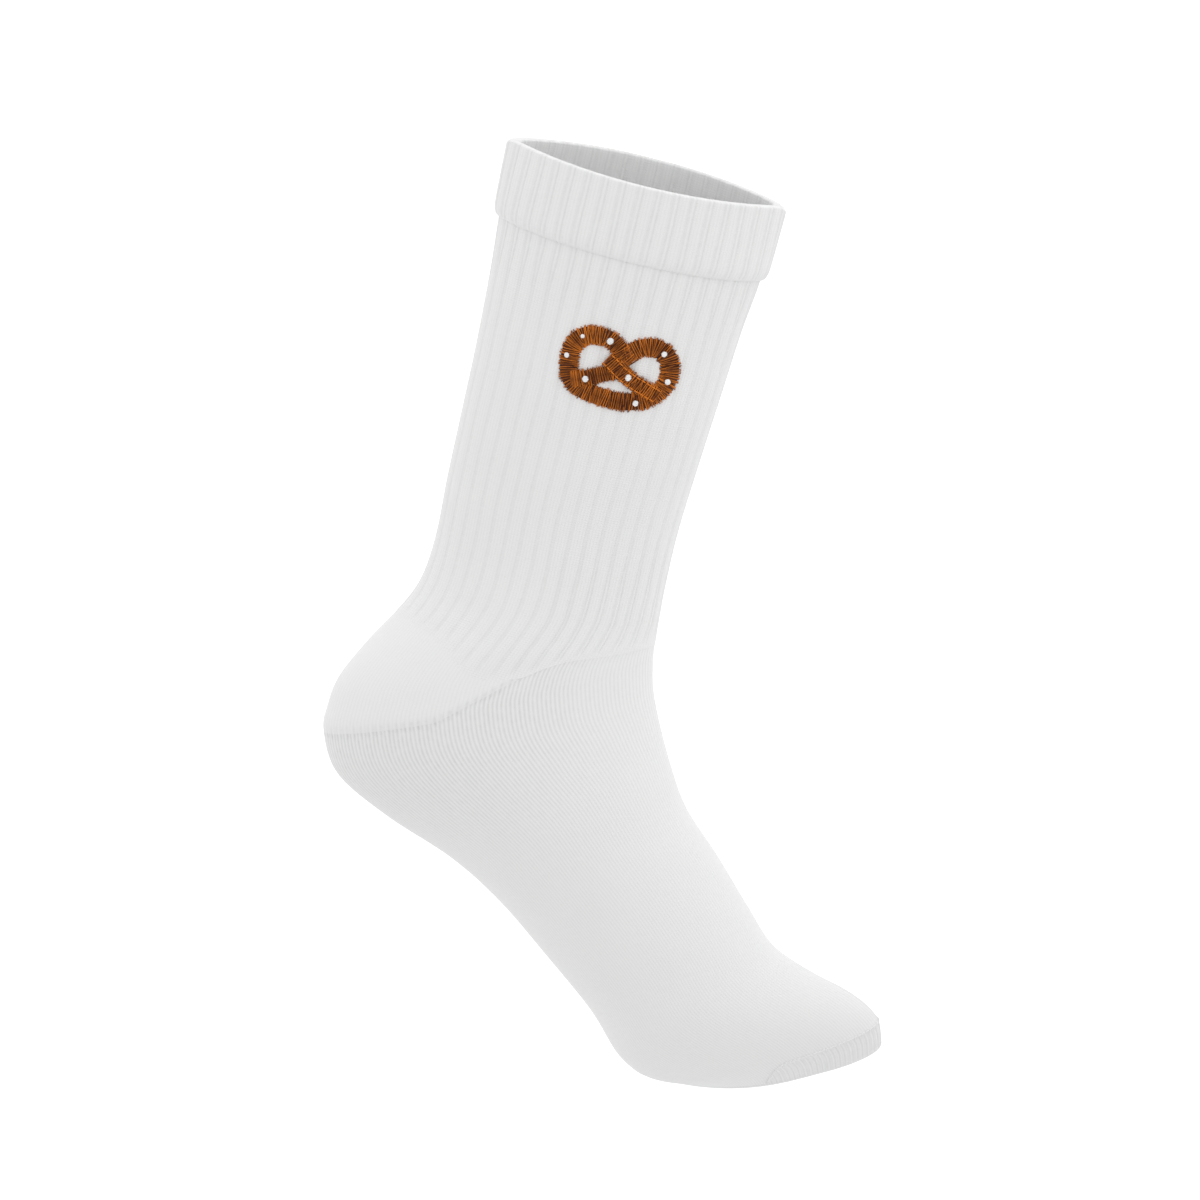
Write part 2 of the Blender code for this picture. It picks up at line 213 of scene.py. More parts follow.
def grid_mesh(
    points: Array, uv: Array, closed: bool, values: dict[str, Array] | None = None
) -> MeshData:
    """Make a mesh of a grid of points.

    Args:
        points: rows by columns by 3. A closed grid doesn't repeat its first column.
        uv: rows by columns by 2, with one column more where the grid is closed.
        closed: whether the last column joins the first.
        values: named arrays of rows by columns.

    Returns:
        The mesh, its faces turned so that rows cross columns points outwards.
    """
    rows, columns = points.shape[:2]
    across = columns if closed else columns - 1
    row, column = np.meshgrid(np.arange(rows - 1), np.arange(across), indexing="ij")
    beside = (column + 1) % columns
    corners = (
        row * columns + column,
        (row + 1) * columns + column,
        (row + 1) * columns + beside,
        row * columns + beside,
    )
    corner_uv = (
        uv[row, column], uv[row + 1, column], uv[row + 1, column + 1], uv[row, column + 1],
    )
    return MeshData(
        points.reshape(-1, 3),
        np.stack(corners, axis=-1).reshape(-1, 4),
        np.stack(corner_uv, axis=-2).reshape(-1, 4, 2),
        {name: array.reshape(-1) for name, array in (values or {}).items()},
    )


@dataclass
class SockForm:
    """The sock's smooth shape: lens-shaped sections from the mouth to the toe end.

    Each row of `sections` holds, in millimetres with the mouth's centre at 0, 0: the back point's
    x and y, the front point's x and y, the full depth, the height of the underside above the
    floor, the bow, which is how far the section's middle bulges towards the toe end, and the
    lens power, which is 1 for an ellipse and 2 for a pointed lens.
    """

    sections: tuple[tuple[float, ...], ...] = (
        (-52.8, 0.0, 53.3, 0.0, 57.0, 1.5, 0.0, 1.7),
        (-51.2, -30.0, 52.4, -30.0, 56.5, 1.5, 0.0, 1.4),
        (-49.3, -52.0, 50.2, -52.0, 56.0, 1.0, 0.0, 1.25),
        (-47.8, -80.0, 48.4, -80.0, 55.2, 0.3, 0.0, 1.15),
        (-47.0, -108.0, 46.6, -108.0, 54.0, 0.0, 0.0, 1.1),
        (-46.3, -135.0, 45.2, -135.0, 52.5, 0.0, 0.0, 1.1),
        (-45.2, -160.0, 45.5, -157.0, 52.0, 0.0, 0.0, 1.1),
        (-47.0, -178.0, 46.2, -169.0, 53.0, 0.0, 0.0, 1.15),
        (-53.0, -192.0, 46.6, -174.5, 54.5, 0.0, 0.0, 1.2),
        (-61.0, -206.0, 46.9, -178.0, 56.0, 0.0, 0.0, 1.2),
        (-68.3, -222.0, 47.1, -181.0, 57.0, 0.0, 0.0, 1.2),
        (-70.0, -234.0, 47.4, -183.5, 57.7, 0.0, 0.0, 1.2),
        (-69.0, -245.0, 48.0, -187.0, 58.0, 0.0, 0.0, 1.2),
        (-59.6, -260.0, 50.6, -197.0, 58.0, 0.0, 0.0, 1.2),
        (-37.4, -271.3, 55.6, -208.5, 57.5, 0.0, 0.0, 1.2),
        (-9.9, -281.2, 63.2, -223.0, 56.5, 0.0, 0.0, 1.2),
        (12.2, -293.3, 73.8, -239.6, 55.0, 0.0, 0.0, 1.2),
        (35.0, -310.2, 90.3, -255.7, 53.0, 0.0, 0.0, 1.2),
        (56.7, -327.2, 107.3, -273.4, 51.0, 0.0, 0.0, 1.2),
        (70.2, -341.0, 119.8, -285.3, 48.0, 1.5, 0.5, 1.2),
        (79.0, -346.6, 136.0, -291.4, 42.0, 4.5, 2.0, 1.2),
        (84.8, -348.2, 150.4, -295.0, 34.0, 8.5, 4.0, 1.2),
        (88.8, -348.5, 160.2, -299.0, 25.0, 13.0, 6.6, 1.2),
        (91.8, -348.4, 166.2, -303.8, 15.5, 17.7, 7.6, 1.2),
        (94.2, -348.0, 169.0, -310.8, 6.0, 22.5, 8.0, 1.2),
    )
    rest_press: float = 0.6 * MM
    edge_factor: float = 1.6
    cuff_end: float = 1.02
    rib_end_back: float = 8.0
    gore: float = 12.0
    gore_lift: float = 2.5
    gore_span: float = 0.6
    toe_end: float = 24.0
    nose: float = 1.3 * MM
    spacing_samples: int = 1441
    mouth_offset: float = 0.25 * MM
    bow_power_back: float = 2.0
    bow_power_front: float = 0.7
    bow_power_change: tuple[float, float] = (-0.2, 0.6)
    gore_climb: tuple[float, float] = (-0.35, 0.5)
    leg_sections: float = 7.0

    def __post_init__(self) -> None:
        """Place the form in the frame and measure how angle and girth go together."""
        low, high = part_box("cuff")
        self.shift = np.array([(low[0] + high[0]) / 2 - self.mouth_offset, high[1]])
        self.table = np.asarray(self.sections)
        self.table[:, :7] *= MM
        dense = np.linspace(0.0, TURN, self.spacing_samples)
        at = np.arange(len(self.sections), dtype=float)[:, None]
        ring = self.points(at, dense[None, :])
        girth = passed(np.swapaxes(ring, 0, 1)).T
        shares = np.linspace(0.0, 1.0, self.spacing_samples)
        self.angle_rows = np.stack([np.interp(shares, row / row[-1], dense) for row in girth])

    def points(self, along: Array, around: Array, inset: Array | float = 0.0) -> Array:
        """Points of the surface.

        In a section the point's place along the chord is half its width times cos(around), and
        its height over the middle is half the depth times |sin(around)| to the lens power. The
        section bows towards the toe end by the bow times |sin(around)| to the bow power, which
        falls from the back to the front. Past the toe end the depth shrinks as a cosine while
        the section moves on as a sine, a round nose.

        Args:
            along: sections counted from the mouth.
            around: angle, 0 at the front line and pi at the back line, the shown side between.
            inset: how far the surface is moved inwards.

        Returns:
            Array of points with a last axis of 3.
        """
        along, around, inset = np.broadcast_arrays(
            np.asarray(along, float), np.asarray(around, float), np.asarray(inset, float)
        )
        row = smooth_curve(self.table, along)
        back, front = row[..., 0:2], row[..., 2:4]
        turn = np.clip(along - self.toe_end, 0.0, 1.0) * math.pi / 2
        mid_height = np.maximum(row[..., 5], 0.0) - self.rest_press + row[..., 4] / 2
        half_depth = row[..., 4] / 2 * np.cos(turn)
        bow = row[..., 6] + self.nose * np.sin(turn)
        chord = front - back
        width = np.linalg.norm(chord, axis=-1)
        direction = chord / width[..., None]
        toewards = np.stack((direction[..., 1], -direction[..., 0]), axis=-1)
        sine = np.sin(around)
        swell = np.sign(sine) * np.abs(sine) ** row[..., 7]
        power_change = self.bow_power_front - self.bow_power_back
        bow_power = self.bow_power_back + power_change * ease(np.cos(around), *self.bow_power_change)
        across = (width / 2 - self.edge_factor * inset) * np.cos(around)
        plan = (back + front) / 2 + direction * across[..., None]
        plan = plan + toewards * (bow * np.abs(sine) ** bow_power)[..., None]
        height = mid_height + (half_depth - inset) * swell
        height = np.maximum(height, np.maximum(row[..., 5], 0.0) + inset)
        return np.concatenate((plan + self.shift, height[..., None]), axis=-1)

    def angle(self, along: Array, share: Array) -> Array:
        """Angle at which a share of the girth has been passed, read between the sections.

        Args:
            along: sections counted from the mouth, any shape.
            share: share of the girth, from 0 to 1, the same shape.

        Returns:
            Angles of the same shape.
        """
        along, share = np.broadcast_arrays(np.asarray(along, float), np.asarray(share, float))
        place = share * (self.spacing_samples - 1)
        low = np.minimum(place.astype(int), self.spacing_samples - 2)
        part = place - low
        at = np.clip(along, 0.0, len(self.sections) - 1.0)
        first = np.minimum(at.astype(int), len(self.sections) - 2)
        t = at - first
        t = t * t * (3 - 2 * t)
        rows = self.angle_rows
        near = rows[first, low] * (1 - part) + rows[first, low + 1] * part
        far = rows[first + 1, low] * (1 - part) + rows[first + 1, low + 1] * part
        return near * (1 - t) + far * t

    def normal(self, along: Array, around: Array) -> Array:
        """Outward unit vectors, the cross product of the steps round and down the surface."""
        small = 0.01
        down = self.points(along + small, around) - self.points(along - small, around)
        round_it = self.points(along, around + small) - self.points(along, around - small)
        return unit(np.cross(round_it, down))

    def gore_line(self, around: Array) -> Array:
        """Section count where the foot begins, which climbs from under the heel to the instep."""
        return self.gore - self.gore_lift * ease(np.cos(around), *self.gore_climb)

    def rib_end(self, around: Array) -> Array:
        """Section count where the ribs stop, which drops from the back line to the side point."""
        share = np.clip((np.cos(around) + 1) / (2 * self.gore_span), 0, 1)
        return self.rib_end_back + (self.gore_line(around) - self.rib_end_back) * share**2

    def over_leg(self, plan: Array) -> tuple[Array, Array]:
        """Find the place on the shown side of the leg under points of the plan.

        Each round takes the chord that passes through the point, then the angle whose cosine is
        the point's share of that chord.

        Args:
            plan: points' x and y in millimetres from the mouth's centre, with a last axis of 2.

        Returns:
            The section counts and the angles.
        """
        x, y = plan[..., 0] * MM, plan[..., 1] * MM
        count = np.linspace(0.0, self.leg_sections, 400)
        row = smooth_curve(self.table, count)
        mid_y, tilt_y = (row[:, 1] + row[:, 3]) / 2, (row[:, 3] - row[:, 1]) / 2
        mid_x, half_x = (row[:, 0] + row[:, 2]) / 2, (row[:, 2] - row[:, 0]) / 2
        along = np.interp(-y, -mid_y, count)
        share = np.zeros_like(x)
        for _ in range(3):
            share = (x - np.interp(along, count, mid_x)) / np.interp(along, count, half_x)
            along = np.interp(-(y - np.interp(along, count, tilt_y) * share), -mid_y, count)
        return along, np.arccos(np.clip(share, -1.0, 1.0))


@dataclass
class RibPattern:
    """Relief of the rib knit: in each repeat a wide and a narrow band between two grooves."""

    repeats: int = 37
    columns_per_repeat: int = 16
    groove_at: tuple[float, float] = (0.16, 0.50)
    groove_width: float = 0.06
    groove_depth: float = 0.34 * MM
    swell_height: float = 0.12 * MM
    soft_width: float = 1.1
    soft_depth: float = 0.35
    band_edge: float = 0.36
    sway: float = 0.02
    sway_length: float = 43.48 * MM
    sway_step: float = 1.7

    @property
    def columns(self) -> int:
        """Points round the sock."""
        return self.repeats * self.columns_per_repeat

    def shares(self) -> Array:
        """Shares of the girth at which the points round the sock lie."""
        return np.arange(self.columns) / self.columns

    def groove(self, share: Array, length: Array, softness: Array | float = 0.0) -> Array:
        """How deep in a groove a point lies, 1 at its bottom.

        Two bells a repeat, exp(-(d / width)^2) with d the distance to a groove's line. Where the
        knit is drawn in, softness brings the two lines together and widens them.

        Args:
            share: share of the girth.
            length: metres down the leg, for the ribs' slight sway.
            softness: 0 for a stretched rib, 1 for a closed one.

        Returns:
            Values from 0 to 1.
        """
        number = np.floor(share * self.repeats)
        drift = self.sway * np.sin(TURN * length / self.sway_length + number * self.sway_step)
        phase = (share * self.repeats + drift) % 1.0
        middle = (self.groove_at[0] + self.groove_at[1]) / 2
        width = self.groove_width * (1 + self.soft_width * softness)
        depth = np.zeros(np.broadcast(share, length).shape)
        for line in self.groove_at:
            place = line + (middle - line) * softness
            away = np.abs((phase - place + 0.5) % 1.0 - 0.5)
            depth = np.maximum(depth, np.exp(-((away / width) ** 2)))
        return depth * (1 - self.soft_depth * softness)

    def relief(self, share: Array, length: Array, softness: Array | float = 0.0) -> Array:
        """Height of the knit over the smooth form, always 0 or less.

        Minus the groove's depth, and minus a shallow curve that rounds the bands' edges.
        """
        groove = self.groove(share, length, softness)
        phase = (share * self.repeats) % 1.0
        middle = (self.groove_at[0] + self.groove_at[1]) / 2
        from_narrow = np.abs((phase - middle + 0.5) % 1.0 - 0.5)
        band = np.cos(np.clip((0.5 - from_narrow) / self.band_edge, 0, 1) * math.pi / 2)
        return -self.groove_depth * groove - self.swell_height * (1 - band) * (1 - groove)


class NodeNet:
    """A material's node tree, with short calls for adding and joining nodes."""

    def __init__(self, name: str) -> None:
        """Start a material with its Principled shader."""
        self.material = bpy.data.materials.new(name)
        self.material.use_nodes = True
        self.tree = self.material.node_tree
        self.shader = self.tree.nodes["Principled BSDF"]
        self.place = None

    def add(self, kind: str) -> bpy.types.Node:
        """Add a node of a kind."""
        return self.tree.nodes.new(kind)

    def put(self, value: float | Socket, socket: Socket) -> None:
        """Join an output to an input, or set the input where the value is a number."""
        if isinstance(value, Socket):
            self.tree.links.new(value, socket)
        else:
            socket.default_value = value

    def maths(self, operation: str, *values: float | Socket) -> Socket:
        """Add a Math node.

        Args:
            operation: the Math node's operation.
            values: a number or an output for each of its inputs.

        Returns:
            Its output.
        """
        node = self.add("ShaderNodeMath")
        node.operation = operation
        for socket, value in zip(node.inputs, values):
            self.put(value, socket)
        return node.outputs[0]

    def scaled(self, value: Socket, factor: float | Socket) -> Socket:
        """Multiply a value by a factor."""
        return self.maths("MULTIPLY", value, factor)

    def total(self, first: float | Socket, *others: float | Socket) -> Socket:
        """Add values up."""
        for other in others:
            first = self.maths("ADD", first, other)
        return first

    def noise(self, scale: float, detail: float) -> Socket:
        """Add a noise pattern on the piece's own coordinates, in metres."""
        if self.place is None:
            self.place = self.add("ShaderNodeTexCoord")
        node = self.add("ShaderNodeTexNoise")
        node.inputs["Scale"].default_value = scale
        node.inputs["Detail"].default_value = detail
        self.put(self.place.outputs["Object"], node.inputs["Vector"])
        return node.outputs["Fac"]

    def value_at_points(self, name: str) -> Socket:
        """Read a value that the mesh holds at its points."""
        node = self.add("ShaderNodeAttribute")
        node.attribute_name = name
        return node.outputs["Fac"]

    def knit_map(self) -> tuple[Socket, Socket]:
        """Read the UV map: wales across and courses down."""
        uv = self.add("ShaderNodeUVMap")
        uv.uv_map = UV_NAME
        split = self.add("ShaderNodeSeparateXYZ")
        self.put(uv.outputs["UV"], split.inputs["Vector"])
        return split.outputs["X"], split.outputs["Y"]

    def raise_surface(self, height: Socket, strength: float, distance: float) -> None:
        """Give the shader a bump of a height pattern."""
        bump = self.add("ShaderNodeBump")
        bump.inputs["Strength"].default_value = strength
        bump.inputs["Distance"].default_value = distance
        self.put(height, bump.inputs["Height"])
        self.put(bump.outputs["Normal"], self.shader.inputs["Normal"])

    def set_shader(self, values: dict[str, float]) -> None:
        """Set plain values on the shader's own sockets."""
        for name, value in values.items():
            self.shader.inputs[name].default_value = value


@dataclass(frozen=True)
class KnitFinish:
    """Finish of the white knit: rows of V-shaped stitches, soft sheen, and painted shade darker in the
    grooves and on the wales' edges.

    Attributes:
        stitch_depth: height of a stitch, in metres.
        course_share, ridge_share, lint_share: parts that make up a stitch's height.
        course_bend: how far a course bends into its V.
        groove_shade: tone at a groove's bottom against the open knit, a painted shade.
            dash_base, dash_range: how the groove's painted shade comes and goes along it.
            wale_shade, fleck: how much painted shade on the wales' edges and the yarn's unevenness
                darken it.
    """

    name: str
    colour: tuple[float, float, float]
    stitch_depth: float
    course_share: float
    groove_shade: float
    ridge_share: float = 0.6
    lint_share: float = 0.35
    course_bend: float = 0.45
    bump_strength: float = 0.7
    lint_scale: float = 1900.0
    dash_scale: float = 420.0
    dash_base: float = 0.2
    dash_range: float = 1.6
    cloud_scale: float = 60.0
    fleck: float = 0.025
    wale_shade: float = 0.04
    roughness: float = 0.92
    sheen: float = 0.12
    sheen_roughness: float = 0.5
    specular: float = 0.2

    def material(self) -> Material:
        """Build the material.

        The UV map counts wales across and courses down. A stitch's height is a rounded ridge
        across the wale, 1 - x^2, cut by courses that bend into a V, sin(2 pi (course + bend x)).

        Returns:
            The new material.
        """
        net = NodeNet(self.name)
        across, down = net.knit_map()
        off_middle = net.maths("ABSOLUTE", net.total(net.maths("FRACT", across), -0.5))
        side = net.scaled(off_middle, 2.0)
        ridge = net.maths("SUBTRACT", 1.0, net.maths("POWER", side, 2.0))
        slant = net.total(down, net.scaled(side, self.course_bend))
        course = net.maths("SINE", net.scaled(slant, TURN))
        lint = net.noise(self.lint_scale, detail=3.0)
        height = net.total(
            net.scaled(ridge, self.ridge_share),
            net.scaled(course, self.course_share),
            net.scaled(lint, self.lint_share),
        )
        # Painted shade: the colour darkens with the groove value, broken into dashes, and on the wales'
        # edges; the clouds and lint are the yarn's own uneven tone.
        dashes = net.noise(self.dash_scale, detail=2.0)
        dash = net.total(net.scaled(dashes, self.dash_range), self.dash_base)
        deep = net.scaled(net.value_at_points("groove"), dash)
        cloud = net.noise(self.cloud_scale, detail=4.0)
        tone = net.total(
            net.maths("SUBTRACT", 1.0, net.scaled(deep, 1 - self.groove_shade)),
            net.scaled(net.maths("SUBTRACT", 1.0, ridge), -self.wale_shade),
            net.scaled(net.total(cloud, -0.5), self.fleck),
            net.scaled(net.total(lint, -0.5), self.fleck * 2),
        )
        tint = net.add("ShaderNodeVectorMath")
        tint.operation = "SCALE"
        tint.inputs[0].default_value = self.colour
        net.put(tone, tint.inputs["Scale"])
        net.put(tint.outputs[0], net.shader.inputs["Base Color"])
        net.raise_surface(height, self.bump_strength, self.stitch_depth)
        net.set_shader({
            "Roughness": self.roughness,
            "Sheen Weight": self.sheen,
            "Sheen Roughness": self.sheen_roughness,
            "Specular IOR Level": self.specular,
        })
        return net.material


@dataclass(frozen=True)
class ThreadFinish:
    """Finish of embroidery thread: a satin gloss and a tone that differs from stitch to stitch."""

    name: str
    dark: tuple[float, float, float]
    light: tuple[float, float, float]
    roughness: float = 0.42
    specular: float = 0.2
    twist_depth: float = 0.05 * MM
    bump_strength: float = 0.5
    fibre_scale: float = 2600.0
    fibre_range: float = 0.35

    def material(self) -> Material:
        """Build the material: the `tone` value of each stitch mixes dark and light, with fine plies.

        Returns:
            The new material.
        """
        net = NodeNet(self.name)
        fibre = net.total(net.noise(self.fibre_scale, detail=2.0), -0.5)
        mix = net.add("ShaderNodeMix")
        mix.data_type = "RGBA"
        share, dark, light = mix.inputs[0], mix.inputs[6], mix.inputs[7]
        dark.default_value = (*self.dark, 1.0)
        light.default_value = (*self.light, 1.0)
        net.put(net.total(net.value_at_points("tone"), net.scaled(fibre, self.fibre_range)), share)
        net.put(mix.outputs[2], net.shader.inputs["Base Color"])
        plies = net.maths("SINE", net.scaled(net.total(*net.knit_map()), TURN))
        net.raise_surface(plies, self.bump_strength, self.twist_depth)
        net.set_shader({"Roughness": self.roughness, "Specular IOR Level": self.specular})
        return net.material


@dataclass
class Knit:
    """The knitted body: cuff, leg, heel pocket, foot and toe.

    Places along the sock count the form's sections, and a pair of numbers is where a change
    starts and ends, along the sock or by the cosine of the angle round it.
    """

    form: SockForm
    ribs: RibPattern
    wall: float = 2.0 * MM
    inner_rows: int = 14
    courses_per_metre: float = 1050.0
    wales: int = 172
    rib_wales: int = 5

    cuff_proud: float = 1.5 * MM
    cuff_wall: float = 3.0 * MM
    cuff_start: float = 0.05
    cuff_rows: int = 14
    hem_rows: int = 9
    rim_rows: int = 11
    cuff_softness: float = 0.1
    hem_length: float = 0.2
    hem_tuck: float = 0.1 * MM
    corner_drop: float = 0.09
    corner_reach: float = 0.2
    rim_reach: float = 0.35
    rim_share: float = 0.7
    rim_relief: float = 0.35
    inside_relief: float = 0.8

    leg_rows: int = 96
    leg_tuck: float = 0.06
    ribs_close: tuple[float, float] = (1.2, 2.6)
    ribs_open: tuple[float, float] = (4.5, 6.5)
    front_half: tuple[float, float] = (-0.2, 0.6)
    rib_fade: float = 5.0 * MM

    gather_count: float = 96.0
    gather_depth: float = 0.2 * MM
    crease_share: float = 0.3
    crease_width: float = 1.1 * MM
    pit_share: float = 1.3
    pit_offset: float = 1.0 * MM
    pit_width: float = 1.2 * MM

    heel_rows: int = 26
    heel_columns: int = 320
    heel_least: float = 0.02
    heel_samples: int = 4001
    heel_crease_shade: float = 0.15
    heel_crease_width: float = 0.9 * MM
    heel_pit_shade: float = 0.5

    foot_rows: tuple[int, int, int] = (14, 60, 46)
    foot_rows_end: tuple[float, float] = (0.06, 0.88)
    foot_samples: int = 400
    side_angles: tuple[float, float, float] = (0.6, 1.6, 2.6)
    nose_rows: tuple[float, float, int] = (0.15, 0.999, 7)
    inner_toe_end: float = 22.6
    back_half: tuple[float, float] = (-0.3, 0.0)
    front_gathers: float = 0.25
    pit_shade: float = 0.4
    front_pit_shade: float = 0.1

    wale_columns: int = 4
    wale_depth: float = 0.12 * MM
    wale_shade: float = 0.8
    wale_least: float = 0.25
    wale_reach: float = 55.0 * MM
    instep: tuple[float, float] = (0.2, 0.8)
    instep_loss: float = 0.8

    seam_at: float = 22.9
    seam_drift: float = 0.7
    seam_reach: float = math.radians(97.0)
    seam_turn: float = math.radians(16.0)
    seam_fade: float = 0.15
    seam_end_gap: float = 0.3
    seam_ridge: float = 0.3 * MM
    seam_width: float = 1.3 * MM
    section_length: float = 8.5 * MM
    pleats: int = 96
    pleat_depth: float = 0.2 * MM
    pleat_shade: float = 0.3
    pleat_start: float = 1.2 * MM
    end_fade: tuple[float, float] = (-0.2, 0.5)

    def surface(
        self, along: Array, share: Array, inset: Array | float, relief: Array | float
    ) -> Array:
        """Points of the form moved out along its normal by a relief, and kept above the floor."""
        around = self.form.angle(along, share)
        lift = np.broadcast_to(relief, along.shape)[..., None]
        points = self.form.points(along, around, inset) + self.form.normal(along, around) * lift
        points[..., 2] = np.maximum(points[..., 2], 0.0)
        return points

    def uv(self, along: Array, share: Array, wales: int) -> Array:
        """UV of a closed grid, wales across and courses down, with the closing column added.

        Args:
            along: rows by columns of section counts.
            share: rows by columns of shares of the girth.
            wales: wales round the sock.

        Returns:
            Rows by columns plus one by 2.
        """
        down = passed(self.form.points(along, self.form.angle(along, share)))
        down = np.concatenate((down, down[:, :1]), axis=1) * self.courses_per_metre
        across = np.concatenate((share * wales, np.full((len(share), 1), wales)), axis=1)
        return np.stack((across, down), axis=-1)

    def tube(
        self, along: Array, share: Array, inset: float, relief: Array | float, groove: Array, wales: int
    ) -> MeshData:
        """Make one face of a knitted tube.

        Args:
            along: rows by columns of section counts.
            share: rows by columns of shares of the girth.
            inset: how far the face lies inside the form.
            relief: height over it.
            groove: how deep in a groove each point lies, kept as the groove value that paints shade
                into the knit's colour.
            wales: wales round the sock.

        Returns:
            The closed grid, its faces turned outwards.
        """
        points = self.surface(along, share, inset, relief)
        return grid_mesh(points, self.uv(along, share, wales), True, {"groove": groove})

    def length_down(self, along: Array) -> Array:
        """Rough metres down the leg, for patterns that vary along it."""
        return -smooth_curve(self.form.table[:, 1:2], along)[..., 0]

    def shell(self, outer: MeshData, inner: MeshData, columns: int, rows: tuple[int, int]) -> MeshData:
        """Join an outer and an inner closed grid at both ends into one closed body.

        Args:
            outer: the outer grid's mesh.
            inner: the inner grid's mesh, its faces still turned outwards.
            columns: points round each grid.
            rows: rows of the outer and of the inner grid.

        Returns:
            The closed mesh.
        """
        start = len(outer.points)
        low_outer, low_inner = (rows[0] - 1) * columns, start + (rows[1] - 1) * columns
        both = outer.joined(inner.inside_out())
        both.add_faces(ring_faces(0, start, columns))
        both.add_faces(ring_faces(low_inner, low_outer, columns))
        return both

    def cuff(self, material: Material) -> Piece:
        """The doubled rib cuff: up the outside, over the round rim, and down the inside.

        Along the profile the inset goes from the leg's surface out to the cuff's over a quarter
        circle, stays there, turns over the rim on a half circle, and stays at the inner face.
        """
        form, ribs = self.form, self.ribs
        hem = np.linspace(0.0, math.pi / 2, self.hem_rows)
        rim = np.linspace(-math.pi / 2, math.pi / 2, self.rim_rows)
        half_wall = self.cuff_wall / 2
        middle = half_wall - self.cuff_proud
        hem_top = form.cuff_end - self.hem_length
        along = np.concatenate((
            hem_top + self.hem_length * np.cos(hem),
            np.linspace(hem_top, self.cuff_start, self.cuff_rows)[1:-1],
            self.cuff_start * (1 - np.cos(rim)),
            np.linspace(self.cuff_start, form.cuff_end, self.cuff_rows)[1:],
        ))
        inset = np.concatenate((
            -self.cuff_proud * np.sin(hem) - self.hem_tuck * np.cos(hem),
            np.full(self.cuff_rows - 2, -self.cuff_proud),
            middle + half_wall * np.sin(rim),
            np.full(self.cuff_rows - 1, middle + half_wall),
        ))
        share = np.broadcast_to(ribs.shares(), (len(along), ribs.columns))
        edge_angle = form.angle(np.zeros(ribs.columns), ribs.shares())
        near_rim = 1 - ease(along[:, None], 0.0, self.rim_reach)
        drop = self.corner_drop * near_rim * bell(np.sin(edge_angle), self.corner_reach)
        along = along[:, None] + drop
        inset = np.broadcast_to(inset[:, None], share.shape)
        over_rim = np.abs(inset - middle) < half_wall * self.rim_share
        side = np.where(inset > middle, -self.inside_relief, 1.0)
        side = side * np.where(over_rim, self.rim_relief, 1.0)
        length = self.length_down(along)
        relief = ribs.relief(share, length, self.cuff_softness) * side
        # The groove value: painted shade in the rib grooves, weaker over the rim and inside.
        groove = ribs.groove(share, length, self.cuff_softness) * np.abs(side)
        points = self.surface(along, share, inset, relief)[::-1]
        uv = self.uv(along, share, ribs.repeats * self.rib_wales)[::-1]
        mesh = grid_mesh(points, uv, True, {"groove": groove[::-1]})
        mesh.add_faces(ring_faces(0, (len(points) - 1) * ribs.columns, ribs.columns))
        piece = mesh.object("cuff_knit", Slot.RIB, material)
        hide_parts("cuff")
        return piece

    def leg(self, material: Material) -> Piece:
        """The ribbed leg, from inside the cuff's hem to the heel pocket and the instep."""
        form, ribs = self.form, self.ribs
        wales = ribs.repeats * self.rib_wales
        top = form.cuff_end - self.leg_tuck
        bottom = form.rib_end(form.angle(np.full(ribs.columns, form.gore), ribs.shares()))
        along = top + (bottom - top) * np.linspace(0.0, 1.0, self.leg_rows)[:, None]
        share = np.broadcast_to(ribs.shares(), along.shape)
        around = form.angle(along, share)
        opened = ease(along, *self.ribs_open) * ease(np.cos(around), *self.front_half)
        drawn = ease(along, *self.ribs_close) * (1 - opened)
        softness = self.cuff_softness + (1 - self.cuff_softness) * drawn
        here = form.points(along, around)
        fade = ease(np.linalg.norm(here - here[-1:], axis=-1), 0.0, self.rib_fade)
        length = self.length_down(along)
        relief = ribs.relief(share, length, softness) * fade
        # Painted shade in the rib grooves, fading out with the ribs.
        groove = ribs.groove(share, length, softness) * fade
        outer = self.tube(along, share, 0.0, relief, groove, wales)
        along = top + (bottom - top) * np.linspace(0.0, 1.0, self.inner_rows)[:, None]
        share, length = share[: self.inner_rows], self.length_down(along)
        # The inner wall's rib grooves carry painted shade too.
        relief, groove = -ribs.relief(share, length), ribs.groove(share, length)
        inner = self.tube(along, share, self.wall, relief, groove, wales)
        mesh = self.shell(outer, inner, ribs.columns, (self.leg_rows, self.inner_rows))
        piece = mesh.object("leg_knit", Slot.RIB, material)
        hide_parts("leg")
        return piece

    def gathers(self, share: Array, distance: Array) -> Array:
        """Relief along a joined edge: a shallow crease on it and the row of pits beside it.

        Args:
            share: share of the girth.
            distance: metres from the edge.

        Returns:
            Relief in metres, 0 or less.
        """
        crease = self.crease_share * bell(distance, self.crease_width)
        return -self.gather_depth * (crease + self.pit_share * self.pits(share, distance))

    def pits(self, share: Array, distance: Array) -> Array:
        """The row of small pits beside a joined edge, 1 at a pit's middle and 0 away from them."""
        row = 0.5 + 0.5 * np.sin(share * self.gather_count * TURN)
        return row * bell(distance - self.pit_offset, self.pit_width)

